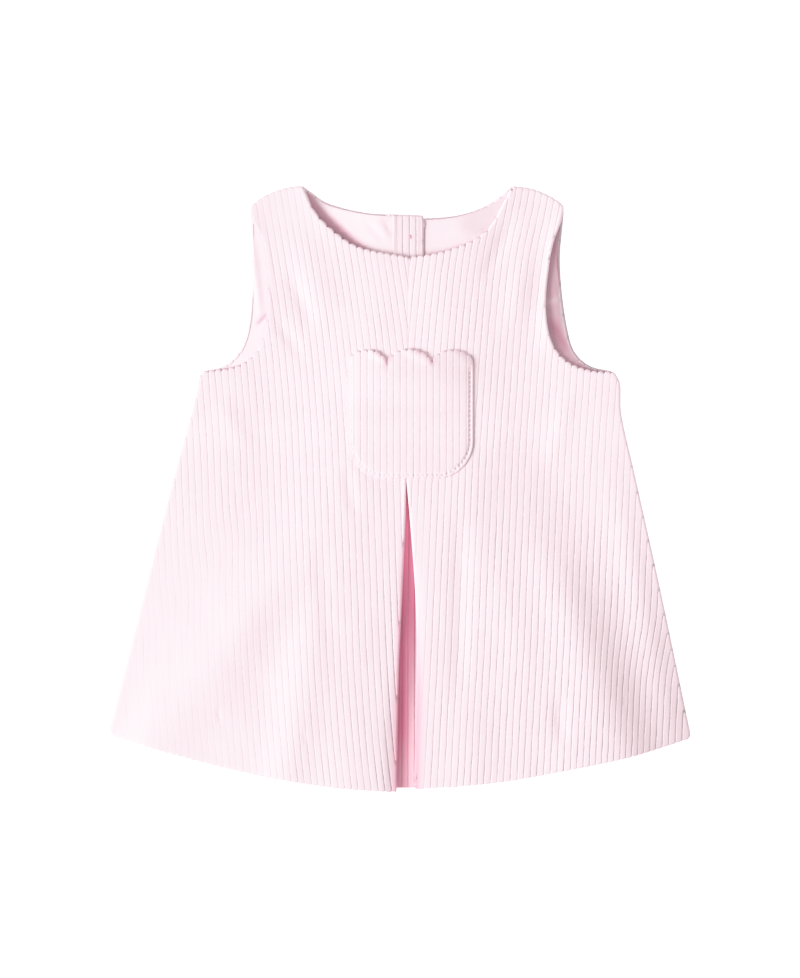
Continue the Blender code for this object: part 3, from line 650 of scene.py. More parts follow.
def cloth_grid(loop, wales, rows, columns):
    """Flat grid of one piece: its columns follow the wales and end at the loop."""
    bent = np.stack((wales.across(*loop.T), loop[:, 1]), axis=1)
    columns = with_turns(wale_lines(bent[:, 0]) if columns is None else columns, bent[:, 0])
    held, foot, head = held_columns(columns, rows, bent)
    work = bmesh.new()
    bmesh.ops.create_grid(work, x_segments=len(columns) - 1, y_segments=len(rows) - 1, size=1.0)
    layer = work.verts.layers.float_vector.new("cloth")
    wide = (len(columns) - 1) / 2
    high = (len(rows) - 1) / 2
    unused = []
    for face in work.faces:
        centre = face.calc_center_median()
        column = int((centre.x + 1.0) * wide)
        row = int((centre.y + 1.0) * high)
        corners = (slice(column, column + 2), slice(row, row + 2))
        if not foot[corners].max() < head[corners].min():
            unused.append(face)
    x = wales.place(columns[:, None], held)
    for vert in work.verts:
        column = round((vert.co.x + 1.0) * wide)
        row = round((vert.co.y + 1.0) * high)
        y = held[column, row]
        vert[layer] = (columns[column], y, 0.0)
        vert.co = (x[column, row], y, 0.0)
    bmesh.ops.delete(work, geom=unused, context="FACES")
    bmesh.ops.remove_doubles(work, verts=work.verts[:], dist=MERGE)
    loose = [link for link in work.edges if not link.link_faces]
    bmesh.ops.delete(work, geom=loose, context="EDGES")
    return work


def make_cloth(node, slot, loop, wales, row_step, outer, inner, relief, columns=None,
               edge=1.6, turned=False, flat=False, bead=0.0, shade=0.0, groove_shade=0.8,
               light=1.0, caps=0.0, dark=EDGE_FOOT, dim=EDGE_DIM):
    """Closed wall of cloth for a node: outer side, inner side and the rings that turn its free edge.

    outer(x, y) and inner(x, y) are plain levels, relief(u, y) is the pile over the outer one. Each of
    the rest is a number or a function of x and y: turned says where the edge folds back inside, as at
    a pleat, flat where it is sewn to its neighbour, bead how far a turned edge stands over the inner
    side, shade how far painted shade deepens the colour, groove_shade how dark the grooves show, in
    their own colour and in painted shade, light how much painted light and shade lighten or darken it,
    caps how round the ends of the wales are and dark how dark the painted shade is at the edge's foot.
    dim is how much painted shade dulls it where it faces the light. Columns follow the wales if none are
    given.
    """
    rows = rows_over(loop, row_step)
    width = np.where(each(flat, *loop.T), SEAM_EDGE, edge)
    clip = loop - outward(loop, loop) * width[:, None]
    work = cloth_grid(clip, wales, rows, columns)
    layer = work.verts.layers.float_vector["cloth"]
    opened = work.verts.layers.float.new("groove_shade")
    lit = work.verts.layers.float.new("light")
    number = work.verts.layers.int.new("number")
    verts = work.verts[:]
    x, y = np.array([vert.co[:2] for vert in verts]).T
    u = np.array([vert[layer][0] for vert in verts])
    level, floor, pile = outer(x, y), inner(x, y), relief(u, y)
    facing = 1.0 if np.mean(level) > np.mean(floor) else -1.0
    tint, grooves, bright = (each(value, x, y) for value in (shade, groove_shade, light))
    for index, vert in enumerate(verts):
        vert[number] = index
        vert[opened] = grooves[index]
        vert[lit] = bright[index]
        vert[layer] = (u[index], y[index], tint[index])
        vert.co.z = level[index] + facing * pile[index]
    rim = [link for link in work.edges if len(link.link_faces) == 1]
    copied = bmesh.ops.duplicate(work, geom=work.verts[:] + work.edges[:] + work.faces[:])
    for vert in copied["geom"]:
        if isinstance(vert, bmesh.types.BMVert):
            vert.co.z = floor[vert[number]]

    # Rings round the free edge, from the outer side to the inner one
    points = np.stack((x, y), axis=1)
    rim_numbers = np.array(sorted({vert[number] for link in rim for vert in link.verts}))
    way = np.zeros_like(points)
    way[rim_numbers] = outward(points[rim_numbers], clip)
    folds = each(turned, x, y) > 0
    raised = each(bead, x, y)
    width = np.where(each(flat, x, y), SEAM_EDGE, edge)
    steep = wale_ends(way[:, 1])
    notch = CAP_DEPTH * each(caps, x, y) * steep * wale_share(u) ** CAP_ROUND
    plump = pile + (EDGE_PILE * pile.max() - pile) * (1.0 - steep)
    low = np.where(folds, RETURN_LOW, floor) - facing * raised
    radius = (level - low) / 2 * facing
    rings = []
    for step in range(1, ROLL_RINGS + 1):
        turn = math.pi * step / ROLL_RINGS
        kept = 1.0 if raised.any() else min(1.0, 2.0 * (1.0 - step / ROLL_RINGS))
        swell = radius + plump * kept
        reach = width * (1.0 - notch) * max(0.0, math.sin(turn)) ** ROLL_SQUARE
        rings.append((reach, low + facing * radius + facing * swell * math.cos(turn)))
    if raised.any():
        rings.append((np.where(raised > 0.05, -BEAD_LAND, 0.0), rings[-1][1]))
        rings.append((0.0 * x, floor))
    if folds.any():
        depth = np.where(folds, -RETURN_DEPTH, 0.0)
        upper = np.where(folds, RETURN_HIGH, floor)
        rings += [(depth, low), (depth, upper), (np.where(folds, -1.0, 0.0), upper), (0.0 * x, floor)]

    # Painted shade on the rings of the edge: deeper pink outwards, darker at the foot, duller where lit
    dulled = dim * np.clip(way @ np.array(EDGE_DIM_WAY), 0.0, 1.0)
    under = each(dark, x, y)
    for reach, height in rings:
        made = bmesh.ops.extrude_edge_only(work, edges=rim)["geom"]
        for vert in made:
            if isinstance(vert, bmesh.types.BMVert):
                index = vert[number]
                place = points[index] + way[index] * reach[index]
                vert.co = (place[0], place[1], height[index])
                out = min(1.0, max(0.0, reach[index] / edge))
                vert[layer] = (u[index], y[index], min(1.0, tint[index] + EDGE_PAINTED_SHADE * out))
                vert[lit] = bright[index] * (1.0 - under[index] * out ** 4) * (1.0 - dulled[index] * out)
        rim = [link for link in made if isinstance(link, bmesh.types.BMEdge) and len(link.link_faces) == 1]
    bmesh.ops.remove_doubles(work, verts=work.verts[:], dist=MERGE)
    bmesh.ops.recalc_face_normals(work, faces=work.faces[:])
    work.verts.layers.int.remove(number)
    declare(finish_mesh(node + "_cloth", work, CLOTHS[slot]), node)


def declare(piece, node):
    """Attach a piece of cloth to the root body and hide the node whose place it takes."""
    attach(piece, "root")
    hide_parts(node)


def rows_over(loop, step):
    """Rows over a loop's height, with one past each end."""
    return np.arange(loop[:, 1].min() - step, loop[:, 1].max() + 2 * step, step)


def wale_ends(up):
    """How much of an edge runs across the wales, so that it shows their ends: up is its outward Y."""
    return sum(np.clip((way * up - start) / reach, 0.0, 1.0) for way, start, reach in WALE_ENDS)


def finish_mesh(name, work, material):
    """Object of a bmesh, in metres and shaded smooth, in the scene."""
    bmesh.ops.scale(work, verts=work.verts[:], vec=(MM, MM, MM))
    mesh = bpy.data.meshes.new(name)
    work.to_mesh(mesh)
    work.free()
    mesh.shade_smooth()
    mesh.materials.append(material)
    item = bpy.data.objects.new(name, mesh)
    bpy.context.scene.collection.objects.link(item)
    return item


# ---------------------------------------------------------------- materials

class Nodes:
    """Short way to add and join the nodes of one material."""

    def __init__(self, name):
        self.material = bpy.data.materials.new(name)
        self.material.use_nodes = True
        self.tree = self.material.node_tree
        self.shader = self.tree.nodes["Principled BSDF"]

    def put(self, node, inputs):
        """Set each input to a value, or link a socket to it."""
        for key, value in inputs.items():
            if isinstance(value, bpy.types.NodeSocket):
                self.tree.links.new(value, node.inputs[key])
            else:
                node.inputs[key].default_value = value

    def add(self, kind, inputs=None, **settings):
        """Add a node, set its settings, and set or link its inputs."""
        node = self.tree.nodes.new(kind)
        for key, value in settings.items():
            setattr(node, key, value)
        self.put(node, inputs or {})
        return node

    def attribute(self, name, output="Fac"):
        """Value that a piece's points carry."""
        return self.add("ShaderNodeAttribute", attribute_name=name).outputs[output]

    def maths(self, operation, first, second=0.0, clamp=False):
        """Result of a Math node."""
        node = self.add("ShaderNodeMath", {0: first, 1: second}, operation=operation, use_clamp=clamp)
        return node.outputs[0]

    def total(self, base, *parts):
        """Sum of a base and of values, each times its share."""
        for value, share in parts:
            base = self.maths("ADD", self.maths("MULTIPLY", value, share), base)
        return base

    def blend(self, share, first, second, mode="MIX"):
        """Result of a colour Mix node."""
        node = self.add("ShaderNodeMix", data_type="RGBA", blend_type=mode)
        self.put(node, {0: share, 6: first, 7: second})
        return node.outputs[2]

    def noise(self, vector, scale, detail=3.0, rough=0.5):
        """Noise value, at a scale along each axis."""
        place = self.add("ShaderNodeVectorMath", {0: vector, 1: scale}, operation="MULTIPLY").outputs[0]
        settings = {"Vector": place, "Scale": 1.0, "Detail": detail, "Roughness": rough}
        return self.add("ShaderNodeTexNoise", settings).outputs[0]

    def finish(self, colour, lightness, height, strength, depth, settings):
        """Colour times a lightness, a fine relief and plain settings of the shader."""
        grey = self.add("ShaderNodeCombineColor", {0: lightness, 1: lightness, 2: lightness}).outputs[0]
        bump = self.add("ShaderNodeBump", {"Strength": strength, "Distance": depth, "Height": height})
        self.put(self.shader, {"Base Color": self.blend(1.0, colour, grey, "MULTIPLY"),
                               "Normal": bump.outputs[0]})
        self.put(self.shader, settings)
        return self.material


def srgb(red, green, blue):
    """Linear colour of an sRGB one given in 0 to 255."""
    parts = []
    for value in (red, green, blue):
        value = value / 255.0
        parts.append(value / 12.92 if value <= 0.04045 else ((value + 0.055) / 1.055) ** 2.4)
    return (*parts, 1.0)


PILE = srgb(252, 228, 235)          # crest of a wale
GROOVE = srgb(200, 187, 194)        # ground between two wales: its own colour, deepened by painted shade in the groove
DEEP = srgb(221, 133, 159)          # painted shade: the deeper pink of shadow inside the pleat and under raised edges
LINING_PINK = srgb(252, 228, 235)
LINING_DEEP = srgb(208, 138, 159)   # the lining in the shade of the cloth over it
THREAD = srgb(252, 232, 239)
THREAD_DEEP = srgb(240, 178, 192)
RESIN_PALE = srgb(252, 232, 238)
RESIN_DARK = srgb(244, 214, 224)
WEAVE_TURN = 16.0                   # radians a millimetre


def corduroy(name):
    """Cut pile in wales: pale crests, ragged grooves, brushed streaks and a soft nap."""
    n = Nodes(name)
    cloth = n.attribute("cloth", "Vector")
    parts = n.add("ShaderNodeSeparateXYZ", {0: cloth}).outputs
    ragged = n.noise(cloth, (0.5, 0.75, 1.0), 3.0, 0.65)
    across = n.total(parts[0], (n.maths("SUBTRACT", ragged, 0.5), 0.9))
    turn = n.maths("FRACT", n.maths("DIVIDE", across, WALE_PITCH))
    share = n.maths("ABSOLUTE", n.maths("SUBTRACT", n.maths("MULTIPLY", turn, 2.0), 1.0))
    broken = n.maths("MULTIPLY", n.noise(cloth, (0.23, 0.22, 1.0), 4.0, 0.65), 4.6)
    # How dark the grooves show, in their own colour and in painted shade, is set at each point by an
    # attribute
    opened = n.maths("MULTIPLY", n.attribute("groove_shade"), n.maths("SUBTRACT", broken, 1.45, clamp=True))
    groove = n.maths("MULTIPLY", n.maths("POWER", share, 9.0, clamp=True), opened, clamp=True)
    streak = n.noise(cloth, (2.2, 0.35, 1.0), 4.0, 0.6)
    tufts = n.noise(cloth, (3.6, 1.5, 1.0), 2.0)
    patch = n.noise(cloth, (0.05, 0.03, 1.0), 2.0)
    # The light attribute carries painted light and shade
    lightness = n.maths("MULTIPLY", n.total(0.895, (streak, 0.07), (tufts, 0.05), (patch, 0.05)),
                        n.attribute("light"))
    # The third part of cloth is the share of painted shade, which turns the colour to DEEP
    pile = n.blend(parts[2], n.blend(groove, PILE, GROOVE), DEEP)
    return n.finish(pile, lightness, n.total(0.0, (streak, 0.6), (tufts, 0.5)), 0.35, 0.0003, {
        "Roughness": 0.95, "Specular IOR Level": 0.15, "Sheen Weight": 0.18, "Sheen Roughness": 0.45,
        "Sheen Tint": (1.0, 0.95, 0.97, 1.0)})


def plain_weave(name):
    """Fine smooth lining: threads over and under, a faint slub and a slight sheen."""
    n = Nodes(name)
    cloth = n.attribute("cloth", "Vector")
    parts = n.add("ShaderNodeSeparateXYZ", {0: cloth}).outputs
    warp, weft = (n.maths("SINE", n.maths("MULTIPLY", part, WEAVE_TURN)) for part in (parts[0], parts[1]))
    weave = n.maths("MULTIPLY", warp, weft)
    slub = n.noise(cloth, (0.9, 0.12, 1.0))
    patch = n.noise(cloth, (0.06, 0.06, 1.0), 2.0)
    # The light attribute carries painted light and shade
    lightness = n.maths("MULTIPLY", n.total(0.95, (slub, 0.04), (patch, 0.05), (weave, 0.012)),
                        n.attribute("light"))
    # The third part of cloth is the share of painted shade
    pink = n.blend(parts[2], LINING_PINK, LINING_DEEP)
    return n.finish(pink, lightness, weave, 0.2, 0.0001, {
        "Roughness": 0.7, "Specular IOR Level": 0.25, "Sheen Weight": 0.1, "Sheen Roughness": 0.3})


def thread(name, colour):
    """Twisted sewing thread, with plies that slant along it."""
    n = Nodes(name)
    place = n.add("ShaderNodeTexCoord").outputs["Object"]
    slant = n.noise(place, (5200.0, 2600.0, 2600.0), 2.0)
    return n.finish(colour, n.total(0.9, (slant, 0.16)), slant, 0.4, 0.0001, {
        "Roughness": 0.6, "Sheen Weight": 0.2})


def resin(name):
    """Cast button resin: satin, with a faint cloudy grain."""
    n = Nodes(name)
    cloud = n.noise(n.add("ShaderNodeTexCoord").outputs["Object"], (260.0, 260.0, 260.0))
    n.put(n.shader, {"Base Color": n.blend(cloud, RESIN_DARK, RESIN_PALE),
                     "Roughness": n.total(0.25, (cloud, 0.15)), "Coat Weight": 0.3})
    return n.material


CLOTHS = {"corduroy": corduroy("corduroy_pink"), "lining": plain_weave("lining_pink")}

# ---------------------------------------------------------------- outlines of the pieces

BACK_SOFT = 6.0             # the back's corners are rounded over this reach
ARC_POINTS = 16
HEM_POINTS = 60


def side_and_arm(side, arm):
    """Side seam, armhole and shoulder, from the hem's corner up to the neck."""
    return [smooth_line(stretch)[:-1] for stretch in (SIDE_SEAM[side], arm[side], SHOULDER_LINE[side])]


def hem_line(low_x, high_x, short=0.0):
    """Hem between two places across, drawn up at its middle by an amount."""
    x = np.linspace(low_x, high_x, HEM_POINTS)
    y = np.interp(x, *smooth_line(HEM).T) + short * (1.0 - (x / HEM_CORNER[RIGHT][0]) ** 2)
    return np.stack((x, y), axis=1)


def front_loop(side):
    """Outline of one front half."""
    flap = smooth_line(FLAP[side]) + (side * SEAM_GAP / 2, 0.0)
    flap = flap[flap[:, 1] > np.interp(flap[:, 0], *smooth_line(HEM).T) + FLAP_CLEAR]
    neck = smooth_line(FRONT_NECK[side])[:-1]
    seam = [(CENTRE_NECK[0] + side * SEAM_GAP / 2, CENTRE_NECK[1])]
    hem = hem_line(flap[-1][0], HEM_CORNER[side][0])[:-1]
    loop = closed_loop([neck, seam, flap, hem] + side_and_arm(side, FRONT_ARM))
    return soften(loop, (HEM_CORNER[side], SHOULDER[side], UNDERARM[side]))


def back_loop(side):
    """Outline of one back half, with its placket lap."""
    lap = PLACKET_RIGHT if side == LEFT else PLACKET_LEFT
    seam = CENTRE_BACK + side * GAP / 2
    tail = [(lap, PLACKET_FOOT), (seam, PLACKET_FOOT)]
    hem = hem_line(seam, HEM_CORNER[side][0], BACK_SHORT)[:-1]
    loop = closed_loop([smooth_line(BACK_NECK[side]), tail, hem] + side_and_arm(side, BACK_ARM))
    return soften(loop, (HEM_CORNER[side], SHOULDER[side], UNDERARM[side]), BACK_SOFT)


def lining_loop(side):
    """Outline of one half of the bodice lining, drawn in from the back's edges."""
    edge = np.vstack(side_and_arm(side, BACK_ARM))
    edge = edge[edge[:, 1] > LINING_FOOT]
    edge = np.vstack(([(edge[0][0], LINING_FOOT)], edge))
    neck = smooth_line(BACK_NECK[side])
    if side == LEFT:
        inner = PLACKET_LEFT - LINING_CLEAR + LINING_INSET
        neck = neck[neck[:, 0] < inner]
        tail = [(inner, neck[-1][1]), (inner, LINING_FOOT)]
    else:
        foot = CENTRE_BACK + GAP
        slit = PLACKET_FOOT + LINING_SLIT
        tail = [(PLACKET_LEFT, slit), (foot, slit), (foot, LINING_FOOT)]
    loop = soften(closed_loop([edge, neck, tail]), (SHOULDER[side], UNDERARM[side]), BACK_SOFT)
    return loop - outward(loop, loop) * LINING_INSET


def pocket_loop():
    """Outline of the pocket: rounded foot, straight sides and three scallops."""
    turns = np.linspace(0.0, math.pi / 2, ARC_POINTS)
    stretches = [[(POCKET_X - POCKET_HALF, POCKET_SHOULDER)]]
    for side, start in ((LEFT, math.pi), (RIGHT, 1.5 * math.pi)):
        middle = POCKET_X + side * (POCKET_HALF - POCKET_CORNER)
        stretches.append(np.stack((middle + POCKET_CORNER * np.cos(start + turns),
                                   POCKET_FOOT + POCKET_CORNER * (1 + np.sin(start + turns))), axis=1))
    stretches.append([(POCKET_X + POCKET_HALF, POCKET_SHOULDER)])
    turns = np.linspace(0.0, math.pi, 30)[1:]
    for scallop in reversed(SCALLOPS):
        rise = scallop["top"] * np.sin(turns) ** SCALLOP_FULLNESS
        stretches.append(np.stack((POCKET_X + scallop["centre"] + scallop["half"] * np.cos(turns),
                                   POCKET_SHOULDER + rise), axis=1))
    return closed_loop(stretches, 1.0)


# ---------------------------------------------------------------- front

FRONT_ROWS = 3.6
# How much painted shade dulls each front half's edge where it faces the light
FRONT_DIM = {LEFT: EDGE_DIM, RIGHT: 0.05}
NECK_BRIGHT = (14.0, 26.0)  # the painted shade at the edge's foot stops along the right of the neck
PLEAT_EDGE = 16.0           # and left of this beside the pleat
SHOULDER_FOOT = 181.0
SHOULDER_CAPS = 0.3
SEAM_NEAR = 1.5             # points this near to a seam are on it
SEAM_PRESS = {"half": 0.7, "share": 0.35}
POCKET_PRESS_IN = 0.5
POCKET_PRESS = 0.95         # how much of the front's pile is pressed flat under the pocket
UNEVEN = 0.12


def front_low(x, y):
    """Inner side of the front, with its free edges a little raised."""
    return front_inner(x, y) + creases(LIFTS, x, y) * between(y, LIFT_ROWS)


def front_high(x, y):
    """Outer side of the front: small creases, hem stitches and the unevenness of laid cloth."""
    detail = creases(CREASES, x, y)
    detail += UNEVEN * wave(x, 0.2, 61.0, 37.0) * wave(y, 0.7, 83.0, 53.0)
    for dimple_x, dimple_y in HEM_DIMPLES:
        apart = ((x - dimple_x) ** 2 + (y - dimple_y) ** 2) / DIMPLE_HALF ** 2
        detail -= DIMPLE_DEPTH * np.exp(-apart)
    return front_low(x, y) + SHELL + detail


def front_caps(x, y):
    """The wales end in round caps at the neck and armholes, less so at the shoulder seams."""
    outside = (x < NECK[LEFT][0] + 1.0) | (x > NECK[RIGHT][0] - 1.0)
    return np.where(outside & (y > SHOULDER_FOOT), SHOULDER_CAPS, 1.0)


def front_dark(x, y):
    """Painted shade at the foot of the front's edge, but not at the right of the neck and of the pleat."""
    pleat = (x > CENTRE_BACK) * (x < PLEAT_EDGE) * (y < PLEAT_TOP[1])
    neck = between(x, NECK_BRIGHT) * (x < NECK[RIGHT][0]) * (y > CENTRE_NECK[1])
    return EDGE_FOOT * (1.0 - neck) * (1.0 - pleat)


def flap_glow(x, y):
    """Painted shade: deeper pink where the folded edges of the pleat turn in."""
    shade_share = np.zeros_like(x)
    for row in FLAP_EDGE_PAINTED_SHADE:
        inside = row["side"] * (x - flap_x(row["side"], y))
        share = row["deep"] * between(y, row["down"])
        near = (inside > -FLAP_PAST) & (inside < row["reach"])
        shade_share += share * (1.0 - ease(inside / row["reach"])) * near
    return shade_share


def centre_seam(x, y):
    """Where the two halves of the front are sewn together."""
    along = (y > PLEAT_TOP[1] + 1.0) & (y < CENTRE_NECK[1] - 1.0)
    return (np.abs(x - centre_x(y)) < SEAM_NEAR) & along


def under_pocket(x, y):
    """1 under the pocket and 0 outside it."""
    over_x = np.maximum(np.abs(x - POCKET_X) - POCKET_HALF + POCKET_CORNER, 0.0)
    over_y = np.maximum(POCKET_FOOT + POCKET_CORNER - y, 0.0)
    inside = POCKET_CORNER - np.hypot(over_x, over_y)
    return ease((inside - POCKET_PRESS_IN) / 2.0) * ease((POCKET_SHOULDER - y) / 2.0)


def front_pile(side):
    """Pile of a front half, pressed down beside the centre seam and under the pocket."""
    wales = Leaning(side)

    def relief(u, y):
        x = wales.place(u, y)
        pressed = SEAM_PRESS["share"] * bell(x, centre_x(y), SEAM_PRESS["half"]) * (y > PLEAT_TOP[1])
        pressed = (1.0 - pressed) * (1.0 - POCKET_PRESS * under_pocket(x, y))
        return WALE_HEIGHT * wale_relief(u, y, nap_open(x, y)) * pressed

    return relief


def build_fronts():
    """Both halves of the front, with the folded edges of the pleat."""
    for side, word in SIDES:
        loop = front_loop(side)

        def turned(x, y, side=side):
            return (y < PLEAT_TOP[1]) & (side * (x - flap_x(side, y)) < FLAP_FOLD)

        # The front carries painted shade at the pleat's edges and in its grooves, and painted light and shade
        make_cloth("front_" + word, "corduroy", loop, Leaning(side),
                   FRONT_ROWS, front_high, front_low, front_pile(side), turned=turned,
                   flat=centre_seam,
                   shade=flap_glow, groove_shade=nap_open, light=brushed, caps=front_caps, dark=front_dark,
                   dim=FRONT_DIM[side])


# ---------------------------------------------------------------- pleat underlay

UNDERLAY_FIRST = 1.1        # where its first groove lies
UNDERLAY_LOW = BACK + GAP
UNDERLAY_ROWS = 4.0


def underlay_shade(x, y):
    """Painted shade: deep pink between the flaps, paler at the right and towards the hem."""
    lit = between(x, (2.5, 10.5)) * between(y, (-70.0, -160.0))
    deep = 1.0 - 0.75 * lit - 0.3 * (1.0 - lit) * between(y, (-150.0, -190.0))
    return deep * between(x, UNDERLAY_DEEP)


def underlay_light(x, y):
    """Painted light and shade: lightest high up in the pleat, and duller at the right down to near the hem.
    """
    top = 1.1 + 0.4 * between(y, (-95.0, -25.0))
    return top * (1.0 - 0.22 * between(x, (4.5, 6.5)) * between(y, (-180.0, -120.0)))


def build_underlay():
    """Inset that closes the pleat from behind, with painted shade and light where it shows between the flaps.
    """
    low_x, high_x, low_y, high_y = UNDERLAY_BOX
    loop = closed_loop([[(low_x, low_y), (high_x, low_y), (high_x, high_y), (low_x, high_y)]])
    make_cloth("pleat_underlay", "corduroy", loop,
               Upright(UNDERLAY_FIRST), UNDERLAY_ROWS, level_at(UNDERLAY_LOW + UNDERLAY),
               level_at(UNDERLAY_LOW), pile_of(UNDERLAY_WALE), shade=underlay_shade,
               light=underlay_light)


# ---------------------------------------------------------------- pocket

POCKET_ROWS = 1.0
POCKET_CLEAR = SHELL + 0.1  # it lies this far over the front's inner side
STITCH_LENGTH = 2.3
STITCH_STEP = 3.1
STITCH_GRAIN = 0.1          # points of the stitch line lie this far apart
STITCH_RADIUS = 0.28
STITCH_SUNK = 0.85          # it lies this high in the pile
HOLE_HALF = 0.6
HOLE_DEPTH = 1.6            # a needle hole is this much deeper than the stitches' channel
CHANNEL_HALF = 0.6
CHANNEL_PULL = (0.15, 0.45) # depth of the channel at the left, and how much more at the right
EDGE_PRESS = {"half": 2.6, "left": 0.5, "right": 0.35}
POCKET_SHADOW_HALF = 1.6
# Painted shade at the foot of the pocket's right edge
POCKET_DARK = 0.7


def stitch_line(loop):
    """Even points down one side of the pocket, round its foot and up the other side."""
    line = loop - outward(loop, loop, 2.5) * TOPSTITCH_IN
    start = np.argmin(np.hypot(line[:, 0] - (POCKET_X - POCKET_HALF), line[:, 1] - POCKET_SHOULDER))
    line = np.roll(line, -start, axis=0)
    line = line[:np.argmax(line[:, 1] * (line[:, 0] > POCKET_X) > POCKET_SHOULDER - 1.0)]
    run = np.concatenate(([0.0], np.cumsum(np.hypot(*np.diff(line, axis=0).T))))
    place = np.arange(0.5, run[-1], STITCH_GRAIN)
    return np.stack([np.interp(place, run, line[:, axis]) for axis in (0, 1)], axis=1)


def stitch(work, surface, place, way, length):
    """One stitch: a short round-ended bar along a direction, on a surface."""
    made = bmesh.ops.create_uvsphere(work, u_segments=8, v_segments=6, radius=STITCH_RADIUS)["verts"]
    for vert in made:
        vert.co.x *= length / 2 / STITCH_RADIUS
    turn = math.atan2(way[1], way[0])
    height = float(surface(*np.array(place)[:, None])[0])
    bmesh.ops.rotate(work, verts=made, cent=(0, 0, 0), matrix=Matrix.Rotation(turn, 3, "Z"))
    bmesh.ops.translate(work, verts=made, vec=(*place, height))


def finish_thread(name, work, material):
    """Thread that is sewn into the corduroy."""
    piece = finish_mesh(name, work, material)
    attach(piece, "root")


def build_pocket(stitches):
    """Patch pocket, with a plump edge outside its topstitching."""
    loop = pocket_loop()
    line = stitch_line(loop)
    step = round(STITCH_STEP / STITCH_GRAIN)

    def apart(x, y):
        return edge_distance(np.stack((x, y), axis=1), loop)

    def inner(x, y):
        return front_low(x, y) + POCKET_CLEAR + creases(POCKET_LIFTS, x, y)

    # Painted shadow along the pocket's edge under its raised mouth
    def shade(x, y):
        return bell(apart(x, y), 0.0, POCKET_SHADOW_HALF) * np.clip(creases(POCKET_PAINTED_SHADOWS, x, y), 0.0, 1.0)

    # Painted shade at the foot of the pocket's edge, on its right side
    def dark(x, y):
        return POCKET_DARK * between((x - POCKET_X) / POCKET_HALF, (0.75, 0.95))

    def outer(x, y):
        sewn = 1.0 - between(y, (POCKET_SHOULDER - 6.0, POCKET_SHOULDER))
        pull = between(x, (POCKET_X + 8.0, POCKET_X + POCKET_HALF))
        pull = CHANNEL_PULL[0] + CHANNEL_PULL[1] * pull
        pressed = EDGE_PRESS["left"] * between(-x, (-20.0, 20.0))
        pressed += EDGE_PRESS["right"] * between(x, (30.0, 44.0))
        channel = pull * bell(apart(x, y), TOPSTITCH_IN, CHANNEL_HALF) * sewn
        channel += pressed * bell(apart(x, y), 0.0, EDGE_PRESS["half"])
        for hole_x, hole_y in line[::step]:
            near = ((x - hole_x) ** 2 + (y - hole_y) ** 2) / HOLE_HALF ** 2
            channel += HOLE_DEPTH * pull * np.exp(-near)
        return inner(x, y) + POCKET - channel

    make_cloth("pocket", "corduroy", loop,
               Upright(POCKET_X + 0.5 * WALE_PITCH), POCKET_ROWS, outer, inner,
               pile_of(WALE_HEIGHT, POCKET_GROOVE_OPEN), shade=shade, groove_shade=POCKET_GROOVE_OPEN, caps=1.0, dark=dark)
    work = bmesh.new()
    for place, ahead in zip(line[step // 2::step], line[step // 2 + 5::step]):
        stitch(work, lambda x, y: outer(x, y) + WALE_HEIGHT * STITCH_SUNK, place, ahead - place,
               STITCH_LENGTH)
    finish_thread("pocket_topstitching", work, stitches)


# ---------------------------------------------------------------- back, lining and placket

BACK_ROWS = 5.0
BACK_CAPS = 0.12
# Painted shade at the foot of the back's edge, and how much it dulls the edge where it faces the light
BACK_DARK = 0.04
# Painted shade: all of the back is duller right of here, as its edge is in the right armhole
BACK_SHADED = {"less": 0.3, "past": (80.0, 90.0)}
# Painted shadow on the lining under the front's left neck edge and in the right armhole
NECK_PAINTED_SHADOW = {"deep": 0.64, "soft": 5.0, "reach": 10.0, "left": (8.0, 42.0), "middle": -29.0, "half": 33.0}
ARM_PAINTED_SHADOW = {"deep": 0.52, "soft": 8.0, "reach": 14.0, "past": 80.0}
LINING_ROWS_STEP = 1.8
LINING_COLUMNS_STEP = 1.3
LINING_EDGE = 0.35
FACING_EDGE_ROLL = 1.0
FACING_FIRST = 2.0
FACING_PLAIN = -2.0         # left of this it has no groove
FACING_ROWS = 2.5
FACING_LOW_X = PLACKET_LEFT - 0.8


def back_seam(x, y):
    """Where the two halves of the back are sewn together, below the placket."""
    return (np.abs(x - CENTRE_BACK) < SEAM_NEAR) & (y < PLACKET_FOOT + 1.0)


def build_backs():
    """Both halves of the back, wales down, flat where they rest."""
    for side, word in SIDES:
        loop = back_loop(side)
        under = BACK_UNDER[side]
        make_cloth("back_" + word, "corduroy", loop, Leaning(side), BACK_ROWS,
                   lambda x, y: under(x, y) + BACK_WALE, lambda x, y: under(x, y) + BACK,
                   pile_of(BACK_WALE), flat=back_seam,
                   bead=lambda x, y: BACK_BEAD * between(y, PLACKET_ROWS),
                   light=lambda x, y: 1.0 - BACK_SHADED["less"] * between(x, BACK_SHADED["past"]),
                   caps=BACK_CAPS, dark=BACK_DARK, dim=BACK_DARK)


def lining_low(side):
    """Inner side of a lining half, which rises off the back towards the placket."""
    start, length = LINING_RISE[side]
    height = BUTTON_LIFT + OVERLAP_RISE - (LINING_STEP if side == RIGHT else 0.0)

    def level(x, y):
        rise = height * ease(side * (start - x) / length)
        if side == RIGHT:
            rise = rise * ease((x - PLACKET_RIGHT + 1.0) / 1.2)
        return BACK + GAP + np.maximum(BACK_UNDER[side](x, y), rise * between(y, PLACKET_ROWS))

    return level


